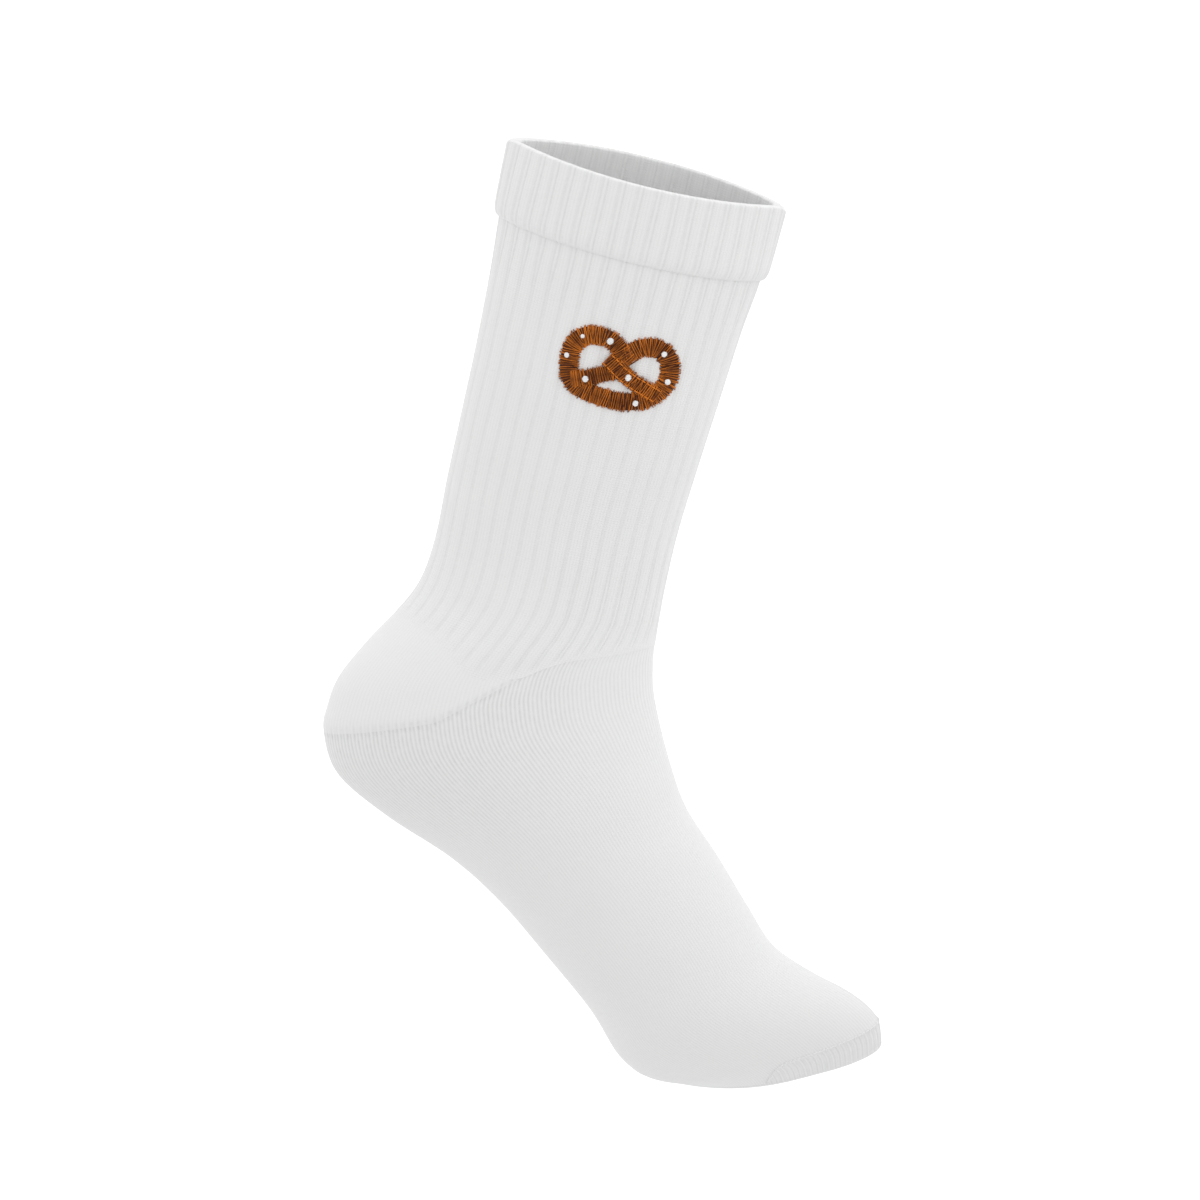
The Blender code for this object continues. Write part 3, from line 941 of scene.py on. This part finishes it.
    def heel(self, material: Material) -> Piece:
        """The heel pocket: a wedge of plain knit across the back, from the rib end to the gore."""
        form = self.form
        dense = np.linspace(0.0, 1.0, self.heel_samples)
        angles = form.angle(np.full(dense.shape, form.gore), dense)
        inside = dense[form.gore_line(angles) - form.rib_end(angles) > self.heel_least]
        share = np.linspace(inside[0], inside[-1], self.heel_columns)
        edge = form.angle(np.full(share.shape, form.gore), share)
        top = form.rib_end(edge)
        along = top + (form.gore_line(edge) - top) * np.linspace(0.0, 1.0, self.heel_rows)[:, None]
        share = np.broadcast_to(share, along.shape)
        around = form.angle(along, share)
        here, normal = form.points(along, around), form.normal(along, around)
        to_gore = np.linalg.norm(here - here[-1:], axis=-1)
        # Painted shade along the gore's crease and in the pits beside it, kept as the groove value.
        groove = self.heel_crease_shade * bell(to_gore, self.heel_crease_width)
        groove = groove + self.heel_pit_shade * self.pits(share, to_gore)
        uv = np.stack((share * self.wales, passed(here) * self.courses_per_metre), axis=-1)
        outside = here + normal * self.gathers(share, to_gore)[..., None]
        outside[..., 2] = np.maximum(outside[..., 2], 0.0)
        inside = here - normal * self.wall
        inside[..., 2] = np.maximum(inside[..., 2], self.wall)
        mesh = grid_mesh(outside, uv, False, {"groove": groove})
        start = len(mesh.points)
        mesh = mesh.joined(grid_mesh(inside, uv, False, {"groove": groove * 0}).inside_out())
        rows, columns = along.shape
        border = np.concatenate((
            np.arange(columns),
            np.arange(1, rows) * columns + columns - 1,
            (rows - 1) * columns + np.arange(columns - 2, -1, -1),
            np.arange(rows - 2, 0, -1) * columns,
        ))
        following = np.roll(border, -1)
        mesh.add_faces(np.stack((border, following, start + following, start + border), axis=-1))
        piece = mesh.object("heel_knit", Slot.PLAIN, material)
        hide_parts("heel")
        return piece

    def seam_line(self, around: Array) -> Array:
        """Section count of the toe seam, which turns down to the toe end beyond its reach."""
        away = from_front(around)
        turn = np.clip((away - self.seam_reach + self.seam_turn) / self.seam_turn, 0.0, 1.0)
        level = self.seam_at - self.seam_drift * away / self.seam_reach
        return level + (self.form.toe_end - self.seam_end_gap - level) * turn**2

    def foot_levels(self) -> Array:
        """Section counts of the foot's rows, by shares of its length, and then round the nose."""
        form = self.form
        first_end, middle_end = self.foot_rows_end
        first, middle, last = self.foot_rows
        parts = np.concatenate((
            np.linspace(0.0, first_end, first, endpoint=False),
            np.linspace(first_end, middle_end, middle, endpoint=False),
            np.linspace(middle_end, 1.0, last),
        ))
        counts = np.linspace(form.gore, form.toe_end, self.foot_samples)
        travel = passed(form.points(counts[:, None], np.array([self.side_angles]))).mean(axis=1)
        nose = form.toe_end + np.linspace(*self.nose_rows)
        return np.concatenate((np.interp(parts, travel / travel[-1], counts), nose))

    def foot_pattern(
        self, along: Array, share: Array, around: Array, from_gore: Array
    ) -> tuple[Array, Array]:
        """Work out the foot's relief and groove values, the groove values being painted shade.

        Pits along the gore, strongest at the back. The toe seam's ridge, with pleats beyond it.
        The lines between the wales, strongest near the gore and weak over the instep.

        Args:
            along: section counts.
            share: shares of the girth.
            around: angles.
            from_gore: metres from the gore.

        Returns:
            The relief and the groove values, which paint shade into the pits, the pleats and the lines
            between the wales.
        """
        back = ease(-np.cos(around[:1]), *self.back_half)
        relief = self.gathers(share, from_gore) * (self.front_gathers + (1 - self.front_gathers) * back)
        # The pits' painted shade, strongest at the back.
        groove = self.pits(share, from_gore) * (self.front_pit_shade + (1 - self.front_pit_shade) * back)
        past_seam = (along - self.seam_line(around)) * self.section_length
        on_seam = 1 - ease(from_front(around), self.seam_reach, self.seam_reach + self.seam_fade)
        near_end, past_end = self.end_fade
        fade = 1 - ease(along, self.form.toe_end + near_end, self.form.toe_end + past_end)
        pleat = (0.5 + 0.5 * np.sin(share * self.pleats * TURN)) * fade * on_seam
        pleat = pleat * ease(past_seam, 0.0, self.pleat_start)
        relief = relief + self.seam_ridge * bell(past_seam, self.seam_width) * on_seam
        on_instep = self.instep_loss * ease(np.cos(around), *self.instep)
        near_gore = bell(from_gore, self.wale_reach) * (1 - on_instep)
        strength = self.wale_least + (1 - self.wale_least) * near_gore
        between = np.abs((share * self.wales) % 1.0 - 0.5) * 2 * fade * strength
        relief = relief - self.pleat_depth * pleat - self.wale_depth * between
        # Painted shade in the pits, the pleats and the lines between the wales.
        groove = self.pit_shade * groove + self.pleat_shade * pleat + self.wale_shade * between
        return relief, np.clip(groove, 0.0, 1.0)

    def foot(self, material: Material) -> Piece:
        """The plain-knit foot and toe, from the gore to the rounded toe end."""
        form = self.form
        columns = self.wales * self.wale_columns
        shares = np.arange(columns) / columns
        level = self.foot_levels()[:, None]
        start = form.gore_line(form.angle(np.full(columns, form.gore), shares))
        left = np.maximum(form.toe_end - level, 0.0) / (form.toe_end - form.gore)
        along = level - (form.gore - start) * left
        share = np.broadcast_to(shares, along.shape)
        around = form.angle(along, share)
        here = form.points(along, around)
        from_gore = np.linalg.norm(here - here[:1], axis=-1)
        relief, groove = self.foot_pattern(along, share, around, from_gore)
        outer = self.tube(along, share, 0.0, relief, groove, self.wales)
        along = start + (self.inner_toe_end - start) * np.linspace(0.0, 1.0, self.inner_rows)[:, None]
        share = share[: self.inner_rows]
        inner = self.tube(along, share, self.wall, 0.0, share * 0, self.wales)
        mesh = self.closed_toe(outer, inner, columns, (len(level), self.inner_rows))
        piece = mesh.object("foot_knit", Slot.PLAIN, material)
        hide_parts("foot", "toe")
        return piece

    def closed_toe(
        self, outer: MeshData, inner: MeshData, columns: int, rows: tuple[int, int]
    ) -> MeshData:
        """Join the two grids at the gore, and close each one's flattened last ring across.

        The closing strip joins each point of a ring's upper half to its mirror in the lower half.

        Args:
            outer: the outer grid's mesh.
            inner: the inner grid's mesh, its faces still turned outwards.
            columns: points round each grid.
            rows: rows of the outer and of the inner grid.

        Returns:
            The closed mesh.
        """
        start = len(outer.points)
        low_outer, low_inner = (rows[0] - 1) * columns, start + (rows[1] - 1) * columns
        upper = np.arange(columns // 2 - 1)
        lower = columns - 1 - upper
        strip = np.stack((lower, lower - 1, upper + 1, upper), axis=-1)
        both = outer.joined(inner.inside_out())
        both.add_faces(ring_faces(0, start, columns))
        both.add_faces(strip + low_outer)
        both.add_faces((strip + low_inner)[:, ::-1])
        return both


@dataclass
class Strands:
    """Threads, each a thin closed tube along its own short line, all of the same face count."""

    sides: int = 6
    ply_step: float = 0.7

    def mesh(self, centres: Array, normals: Array, radius: Array, tone: Array) -> MeshData:
        """Carry a ring along every thread's line, and close both ends with two faces.

        A ring's point is centre + radius (cos a side + sin a lift), with side at right angles to
        the line and to the surface's normal, and lift at right angles to both.

        Args:
            centres: threads by points by 3.
            normals: the surface's normals there.
            radius: threads by points.
            tone: one value for each thread as threads by 1, or threads by points.

        Returns:
            The mesh of all threads.
        """
        threads, count = centres.shape[:2]
        tangent = unit(np.gradient(centres, axis=1))
        side = unit(np.cross(tangent, normals))
        lift = unit(np.cross(side, tangent))
        angle = (np.arange(self.sides) * TURN / self.sides)[:, None]
        ring = side[:, :, None, :] * np.cos(angle) + lift[:, :, None, :] * np.sin(angle)
        points = centres[:, :, None, :] + ring * radius[:, :, None, None]
        row, column = np.meshgrid(np.arange(count - 1), np.arange(self.sides), indexing="ij")
        beside = (column + 1) % self.sides
        walls = np.stack((
            row * self.sides + column,
            row * self.sides + beside,
            (row + 1) * self.sides + beside,
            (row + 1) * self.sides + column,
        ), axis=-1).reshape(-1, 4)
        last = (count - 1) * self.sides
        first_cap = np.array([[3, 2, 1, 0], [5, 4, 3, 0]])
        last_cap = last + np.array([[0, 1, 2, 3], [0, 3, 4, 5]])
        one = np.concatenate((walls, first_cap, last_cap))
        corner = np.array([[0, 0], [0, 1], [1, 1], [1, 0]], dtype=float)
        wall_uv = np.stack((row, column), axis=-1).reshape(-1, 1, 2) + corner
        one_uv = np.zeros((len(one), 4, 2))
        one_uv[: len(walls)] = wall_uv * np.array([self.ply_step, 1.0 / self.sides])
        shift = (np.arange(threads) * count * self.sides)[:, None, None]
        faces = (one + shift).reshape(-1, 4)
        uv = np.tile(one_uv, (threads, 1, 1))
        tones = np.repeat(np.broadcast_to(tone, (threads, count)).ravel(), self.sides)
        return MeshData(points.reshape(-1, 3), faces, uv, {"tone": tones})


@dataclass
class Band:
    """One band of satin stitches, in millimetres from the motif's centre.

    Attributes:
        path: points of its middle line.
        width: its width.
        layer: how high it lies over the bands under it.
    """

    path: tuple[tuple[float, float], ...]
    width: float
    layer: float
    samples: int = 800

    def dense(self) -> tuple[Array, Array]:
        """Close points of the path and the distance passed at each."""
        points = smooth_curve(np.asarray(self.path), np.linspace(0, len(self.path) - 1, self.samples))
        return points, passed(points)

    def line(self, count: int) -> tuple[Array, Array, Array]:
        """Points at even distances along the path.

        Args:
            count: how many.

        Returns:
            The points, the unit directions along the path, and those across it.
        """
        dense, travel = self.dense()
        even = np.linspace(0.0, travel[-1], count)
        points = np.stack([np.interp(even, travel, axis) for axis in dense.T], axis=-1)
        direction = unit(np.gradient(points, axis=0))
        return points, direction, np.stack((-direction[:, 1], direction[:, 0]), axis=-1)

    def length(self) -> float:
        """Length of the path in millimetres."""
        return float(self.dense()[1][-1])


@dataclass
class Pretzel:
    """The embroidered pretzel: a padded rope in satin stitch, edge runs on the top arm, and salt.

    Places, widths and steps of the motif are millimetres. Heights and radii are metres.
    """

    form: SockForm
    centre: tuple[float, float] = (7.5, -72.3)
    base: float = 0.12 * MM
    crown: float = 0.75 * MM
    seed: int = 11

    stitch_pitch: float = 0.43
    stitch_radius: float = 0.22 * MM
    stitch_points: int = 7
    thickness: tuple[float, float] = (0.85, 1.15)
    ragged: tuple[float, float] = (-0.12, 0.7)
    lean: float = 0.1
    arch_power: float = 2.4
    unevenness: float = 0.1 * MM
    end_sink: float = 0.35 * MM
    end_taper: float = 0.45
    tone_middle: float = 0.225
    tone_wave: float = 0.098
    tone_wave_length: float = 28.27
    tone_wave_shift: float = 5.0
    tone_turn: float = 0.2
    painted_edge_highlight: float = 0.4
    painted_edge_highlight_power: float = 1.5

    run_stitch: float = 2.1
    run_points: int = 6
    run_inset: float = 0.75
    run_waver: float = 0.06
    run_level: float = 0.93
    run_arch: float = 0.2 * MM
    run_radius: float = 0.25 * MM
    run_highlight_tone: tuple[float, float] = (0.85, 1.15)

    pad_step: float = 0.8
    pad_sides: int = 12
    pad_width: float = 0.46
    pad_layer: float = 0.9
    pad_height: float = 0.85
    pad_floor: float = -0.1
    pad_tip: float = 0.05

    salt_stitches: int = 8
    salt_points: int = 6
    salt_turn: float = 0.5
    salt_lift: float = 0.55 * MM
    salt_thread: float = 0.2 * MM
    salt_reach: tuple[float, float] = (0.92, 1.1)
    salt_tone: tuple[float, float] = (0.4, 1.0)

    loop: Band = field(default_factory=lambda: Band(
        (
            (-1.3, 4.7), (2.8, 7.1), (6.5, 10.0), (12.4, 11.3), (17.6, 8.2), (19.8, 2.0),
            (18.4, -4.4), (13.2, -9.6), (5.0, -12.2), (-4.0, -12.2), (-12.3, -10.9), (-17.0, -7.6),
            (-18.8, -1.5), (-18.7, 4.7), (-15.8, 9.2), (-10.6, 11.3),
        ), width=7.3, layer=0.0))
    twist: Band = field(default_factory=lambda: Band(
        ((-13.9, 10.3), (-10.2, 11.3), (-5.0, 10.6), (-0.2, 7.3), (4.4, 3.4)), width=7.0, layer=0.25))
    rising_arm: Band = field(default_factory=lambda: Band(
        ((3.5, 2.5), (0.6, -0.4), (-3.2, -2.4), (-7.7, -4.6), (-12.6, -6.9), (-16.2, -8.2)),
        width=6.2, layer=0.45))
    falling_arm: Band = field(default_factory=lambda: Band(
        ((-4.8, 3.5), (0.6, -0.1), (5.1, -2.7), (10.8, -5.0), (16.6, -7.2)), width=6.2, layer=0.75))
    salt_places: tuple[tuple[float, float], ...] = (
        (-15.8, 9.7), (-5.3, 10.5), (-19.9, 0.8), (15.4, 9.8),
        (-11.0, -6.4), (4.4, -2.0), (19.1, -0.8), (9.4, -11.4),
    )
    salt_radius: tuple[float, ...] = (0.7, 1.25, 0.9, 1.0, 1.15, 1.25, 1.05, 1.05)

    def on_leg(self, plan: Array, lift: Array) -> tuple[Array, Array]:
        """Points over the leg: plan in millimetres from the motif's centre, lift in metres.

        Returns:
            The points and the leg's normals under them.
        """
        along, around = self.form.over_leg(plan + np.asarray(self.centre))
        normal = self.form.normal(along, around)
        return self.form.points(along, around) + normal * lift[..., None], normal

    def satin(self, band: Band, random: np.random.Generator) -> MeshData:
        """The stitches across one band.

        A stitch runs from one ragged edge to the other, t from -1 to 1, and arches over the
        padding: lift = base + layer + crown sqrt(1 - |t|^power), with its ends drawn into the
        knit. Its tone follows a slow wave, turns about from stitch to stitch, and is lighter
        towards its ends, a painted highlight where the band's raised edges catch the light.

        Args:
            band: the band.
            random: source of the stitches' small differences.

        Returns:
            The mesh of the stitches.
        """
        count = int(band.length() / self.stitch_pitch)
        line, direction, side = band.line(count)
        t = np.sin(np.linspace(-1.0, 1.0, self.stitch_points) * math.pi / 2)
        at_end = np.isclose(np.abs(t), 1.0)
        lean = random.normal(0.0, self.lean, count)[:, None]
        low = -0.5 * band.width - random.uniform(*self.ragged, count)
        high = 0.5 * band.width + random.uniform(*self.ragged, count)
        across = (low + high)[:, None] / 2 + (high - low)[:, None] / 2 * t
        plan = line[:, None, :] + side[:, None, :] * across[..., None]
        plan = plan + direction[:, None, :] * (lean * across)[..., None]
        arch = np.sqrt(np.clip(1 - np.abs(t) ** self.arch_power, 0.0, 1.0))
        jitter = random.normal(0.0, self.unevenness, count)[:, None]
        layer = band.layer * MM
        lift = self.base + layer + self.crown * arch + jitter - (self.end_sink + layer / 2) * at_end
        centres, normals = self.on_leg(plan, lift)
        taper = np.where(at_end, self.end_taper, 1.0)
        radius = self.stitch_radius * random.uniform(*self.thickness, count)[:, None] * taper
        waves = np.linspace(0, band.length(), count) / self.tone_wave_length
        wave = np.sin(waves * TURN + band.layer * self.tone_wave_shift)
        turn_about = self.tone_turn * np.where(np.arange(count) % 2 == 0, 1.0, -1.0)
        tone = self.tone_middle + self.tone_wave * wave + turn_about
        tone = tone + random.uniform(-self.tone_turn, self.tone_turn, count)
        # Lighter towards the stitch ends: painted highlight on the band's raised edges.
        tone = tone[:, None] + self.painted_edge_highlight * np.abs(t) ** self.painted_edge_highlight_power
        return Strands().mesh(centres, normals, radius, np.clip(tone, 0.0, 1.0))

    def edge_runs(self, band: Band, random: np.random.Generator) -> MeshData:
        """Running stitches along both edges of a band, each a small arch of its own, in light thread
        that paints the highlight on the raised edges.
        """
        count, samples = max(3, int(band.length() / self.run_stitch)), self.run_points
        line, _, side = band.line(count * samples)
        t = np.linspace(-1.0, 1.0, samples)
        lift = self.base + band.layer * MM + self.crown * self.run_level + self.run_arch * (1 - t**2)
        radius = np.broadcast_to(self.run_radius * np.sqrt(1.05 - 0.8 * t**2), (count, samples))
        runs = []
        for sign in (-1.0, 1.0):
            offset = sign * (0.5 * band.width - self.run_inset)
            offset = offset + random.normal(0.0, self.run_waver, count * samples)
            plan = (line + side * offset[:, None]).reshape(count, samples, 2)
            centres, normals = self.on_leg(plan, np.broadcast_to(lift, (count, samples)))
            # Light tone: painted highlight along the band's raised edges.
            tone = random.uniform(*self.run_highlight_tone, (count, 1))
            runs.append(Strands().mesh(centres, normals, radius, tone))
        return runs[0].joined(runs[1])

    def padding(self, band: Band) -> MeshData:
        """The padding under a band's stitches, in the thread's darkest tone as painted shade in the
        gaps between stitches: a closed low ridge along its path.
        """
        count, sides = int(band.length() / self.pad_step), self.pad_sides
        line, _, side = band.line(count)
        ring = np.arange(sides) * TURN / sides
        across = self.pad_width * band.width * np.cos(ring)
        height = np.maximum(np.sin(ring), self.pad_floor) * self.crown * self.pad_height
        lift = band.layer * MM * self.pad_layer + height
        to_tip = np.minimum(np.arange(count), np.arange(count)[::-1])
        ends = np.clip(to_tip / 2.0, self.pad_tip, 1.0)
        plan = line[:, None, :] + side[:, None, :] * (across * ends[:, None])[..., None]
        points, _ = self.on_leg(plan, np.broadcast_to(lift, (count, sides)))
        uv = np.zeros((count, sides + 1, 2))
        # Tone 0, the darkest: painted shade in the gaps between the stitches.
        mesh = grid_mesh(points, uv, True, {"tone": np.zeros((count, sides))})
        fold = np.arange(1, sides // 2)
        strip = np.stack((fold - 1, fold, sides - fold - 1, sides - fold), axis=-1)
        mesh.add_faces(strip)
        mesh.add_faces(strip[:, ::-1] + (count - 1) * sides)
        return mesh

    def salt(self, random: np.random.Generator) -> MeshData:
        """The salt grains: each a small oval of parallel white stitches, domed in the middle."""
        count, samples = self.salt_stitches, self.salt_points
        shift, t = np.linspace(-0.9, 0.9, count), np.linspace(-1.0, 1.0, samples)
        dome = (1 - 0.6 * t**2) * (1 - 0.4 * shift[:, None] ** 2)
        lift = self.base + self.crown + self.salt_lift * (1 + dome)
        thick = np.broadcast_to(self.salt_thread * np.sqrt(1.05 - 0.7 * t**2), (count, samples))
        grains = []
        for place, radius in zip(self.salt_places, self.salt_radius):
            turn = random.uniform(-self.salt_turn, self.salt_turn)
            axis = np.array([math.cos(turn), math.sin(turn)])
            cross = np.array([-axis[1], axis[0]])
            reach = radius * np.sqrt(1 - 0.85 * shift**2) * random.uniform(*self.salt_reach, count)
            plan = np.asarray(place) + cross * (shift * radius)[:, None, None]
            plan = plan + axis * (reach[:, None] * t)[..., None]
            centres, normals = self.on_leg(plan, lift)
            tone = random.uniform(*self.salt_tone, (count, 1))
            grains.append(Strands().mesh(centres, normals, thick, tone))
        return reduce(MeshData.joined, grains)

    def build(self, brown: Material, white: Material) -> list[Piece]:
        """Make the padding, the brown stitches and the white salt.

        Args:
            brown: the pretzel's thread.
            white: the salt's thread.

        Returns:
            The pieces.
        """
        random = np.random.default_rng(self.seed)
        bands = (self.loop, self.twist, self.rising_arm, self.falling_arm)
        pads = reduce(MeshData.joined, [self.padding(band) for band in bands])
        stitches = reduce(MeshData.joined, [self.satin(band, random) for band in bands])
        stitches = stitches.joined(self.edge_runs(self.falling_arm, random))
        pad_piece = pads.object("pretzel_padding", Slot.BROWN, brown)
        thread_piece = stitches.object("pretzel_stitches", Slot.BROWN, brown)
        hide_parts("pretzel")
        salt_piece = self.salt(random).object("salt_stitches", Slot.WHITE, white)
        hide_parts(*(f"salt_{number}" for number in range(1, len(self.salt_places) + 1)))
        return [pad_piece, thread_piece, salt_piece]


@dataclass
class ToeSeam:
    """The linked seam: a row of small loops over the tip of the toe."""

    form: SockForm
    knit: Knit
    loop_length: float = 1.7 * MM
    half_loop: float = 0.65
    radius: float = 0.42 * MM
    lift: float = 0.15 * MM
    arch: float = 0.15 * MM
    lean: float = 0.035
    samples: int = 7
    line_samples: int = 900

    def build(self, material: Material) -> Piece:
        """Lay the loops: each a short spindle, slightly askew, that overlaps the next.

        A loop's centre line leans across the seam by lean t, t running along it from minus to
        plus half a loop, and its radius is that of the yarn times sqrt(1.08 - (t / half)^2).
        """
        reach = self.knit.seam_reach
        dense = np.linspace(-reach, reach, self.line_samples)
        travel = passed(self.form.points(self.knit.seam_line(dense), dense))
        count = int(travel[-1] / self.loop_length)
        t = np.linspace(-self.half_loop, self.half_loop, self.samples)
        at = (np.arange(count)[:, None] + 0.5 + t) * self.loop_length
        around = np.interp(at, travel, dense)
        along = self.knit.seam_line(around) + self.lean * t
        normal = self.form.normal(along, around)
        from_middle = (t / self.half_loop) ** 2
        lift = self.lift + self.arch * (1 - from_middle)
        centres = self.form.points(along, around) + normal * lift[:, None]
        radius = np.broadcast_to(self.radius * np.sqrt(1.08 - from_middle), at.shape)
        mesh = Strands().mesh(centres, normal, radius, np.zeros((count, 1)))
        mesh.values = {"groove": np.zeros(len(mesh.points))}
        piece = mesh.object("toe_seam_loops", Slot.SEAM, material)
        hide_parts("toe_seam")
        return piece


@dataclass(frozen=True)
class Softbox:
    """A square white lamp: its place, the length of its side, and its power in watts."""

    name: str
    place: tuple[float, float, float]
    side: float
    power: float

    def hang(self) -> None:
        """Hang the lamp at its place, turned towards the sock."""
        place = Vector(self.place)
        data = bpy.data.lights.new(self.name, "AREA")
        data.size = self.side
        data.energy = self.power
        data.color = WHITE_LIGHT
        lamp = bpy.data.objects.new(self.name, data)
        lamp.location = place
        lamp.rotation_euler = place.to_track_quat("Z", "Y").to_euler()
        bpy.context.collection.objects.link(lamp)


@dataclass
class Studio:
    """Floor, lights, view and camera."""

    form: SockForm
    tilt: float = math.radians(13.0)
    roll: float = math.radians(14.0)
    distance: float = 6.0
    farthest: float = 20.0
    view_width: float = 0.462
    aim: tuple[float, float] = (22.3, -167.8)
    aim_height: float = 29.0 * MM
    sensor: float = 36.0
    surround: float = 0.86
    floor_reach: float = 6.0
    floor_drop: float = 0.2 * MM
    floor_tone: float = 0.97
    floor_glow: float = 0.3
    lamps: tuple[Softbox, ...] = (
        Softbox("key_light", (1.3, 1.1, 1.5), side=1.5, power=5.5),
        Softbox("fill_light", (-1.4, 0.2, 1.6), side=1.6, power=4.2),
        Softbox("mouth_light", (0.1, 1.9, 0.6), side=0.9, power=5.0),
    )

    def camera(self) -> None:
        """Look down on the sock, leaning towards its mouth, with the leg rolled to the right.

        The camera's axes are those of a view straight down, tilted about X and rolled.
        """
        back = Vector((0.0, math.sin(self.tilt), math.cos(self.tilt)))
        up_before = Vector((0.0, math.cos(self.tilt), -math.sin(self.tilt)))
        right_before = Vector((1.0, 0.0, 0.0))
        right = right_before * math.cos(self.roll) + up_before * math.sin(self.roll)
        up = up_before * math.cos(self.roll) - right_before * math.sin(self.roll)
        x, y = np.array(self.aim) * MM + self.form.shift
        place = Vector((x, y, self.aim_height)) + back * self.distance
        data = bpy.data.cameras.new("camera")
        data.sensor_width = self.sensor
        data.lens = self.sensor * self.distance / self.view_width
        data.clip_end = self.farthest
        camera = bpy.data.objects.new("camera", data)
        bpy.context.collection.objects.link(camera)
        axes = Matrix((right, up, back)).transposed().to_4x4()
        camera.matrix_world = Matrix.Translation(place) @ axes
        bpy.context.scene.camera = camera

    def floor(self) -> None:
        """A plain pale floor, far wider than the view."""
        signs = ((-1, -1), (1, -1), (1, 1), (-1, 1))
        corners = [(x * self.floor_reach, y * self.floor_reach, -self.floor_drop) for x, y in signs]
        mesh = bpy.data.meshes.new("floor")
        mesh.from_pydata(corners, [], [(0, 1, 2, 3)])
        net = NodeNet("floor")
        net.shader.inputs["Base Color"].default_value = (*(self.floor_tone,) * 3, 1.0)
        net.shader.inputs["Emission Color"].default_value = (*WHITE_LIGHT, 1.0)
        net.set_shader({
            "Roughness": 1.0, "Specular IOR Level": 0.0, "Emission Strength": self.floor_glow,
        })
        mesh.materials.append(net.material)
        floor = bpy.data.objects.new("floor", mesh)
        bpy.context.collection.objects.link(floor)

    def lights(self) -> None:
        """A wide soft light from the upper right, a weaker fill, one at the mouth, and the surround."""
        for lamp in self.lamps:
            lamp.hang()
        world = bpy.data.worlds.new("surround")
        world.use_nodes = True
        background = world.node_tree.nodes["Background"]
        background.inputs["Color"].default_value = (*WHITE_LIGHT, 1.0)
        background.inputs["Strength"].default_value = self.surround
        bpy.context.scene.world = world

    def build(self) -> None:
        """Set the stage."""
        self.floor()
        self.lights()
        self.camera()
        bpy.context.scene.view_settings.view_transform = "Standard"


def main() -> None:
    """Build the sock's pieces in order and report each one."""
    logging.basicConfig(level=logging.INFO, format="%(message)s")
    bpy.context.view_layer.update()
    form = SockForm()
    knit = Knit(form, RibPattern())
    white = (0.765, 0.765, 0.765)
    rib_knit = KnitFinish(
        "rib_knit", white, stitch_depth=0.14 * MM, course_share=0.22, groove_shade=0.93
    ).material()
    plain_knit = KnitFinish(
        "plain_knit", white, stitch_depth=0.07 * MM, course_share=0.1, groove_shade=0.86
    ).material()
    brown = ThreadFinish(
        "brown_thread", dark=(0.070, 0.014, 0.0015), light=(0.68, 0.195, 0.016)
    ).material()
    salt = ThreadFinish(
        "white_thread", dark=(0.72, 0.74, 0.76), light=(0.88, 0.88, 0.88)
    ).material()
    pieces = [knit.cuff(rib_knit), knit.leg(rib_knit), knit.heel(plain_knit), knit.foot(plain_knit)]
    pieces.append(ToeSeam(form, knit).build(plain_knit))
    pieces += Pretzel(form).build(brown, salt)
    for piece in pieces:
        LOG.info("%s: %d faces", piece.name, len(piece.data.polygons))
    Studio(form).build()


if __name__ == "__main__":
    main()
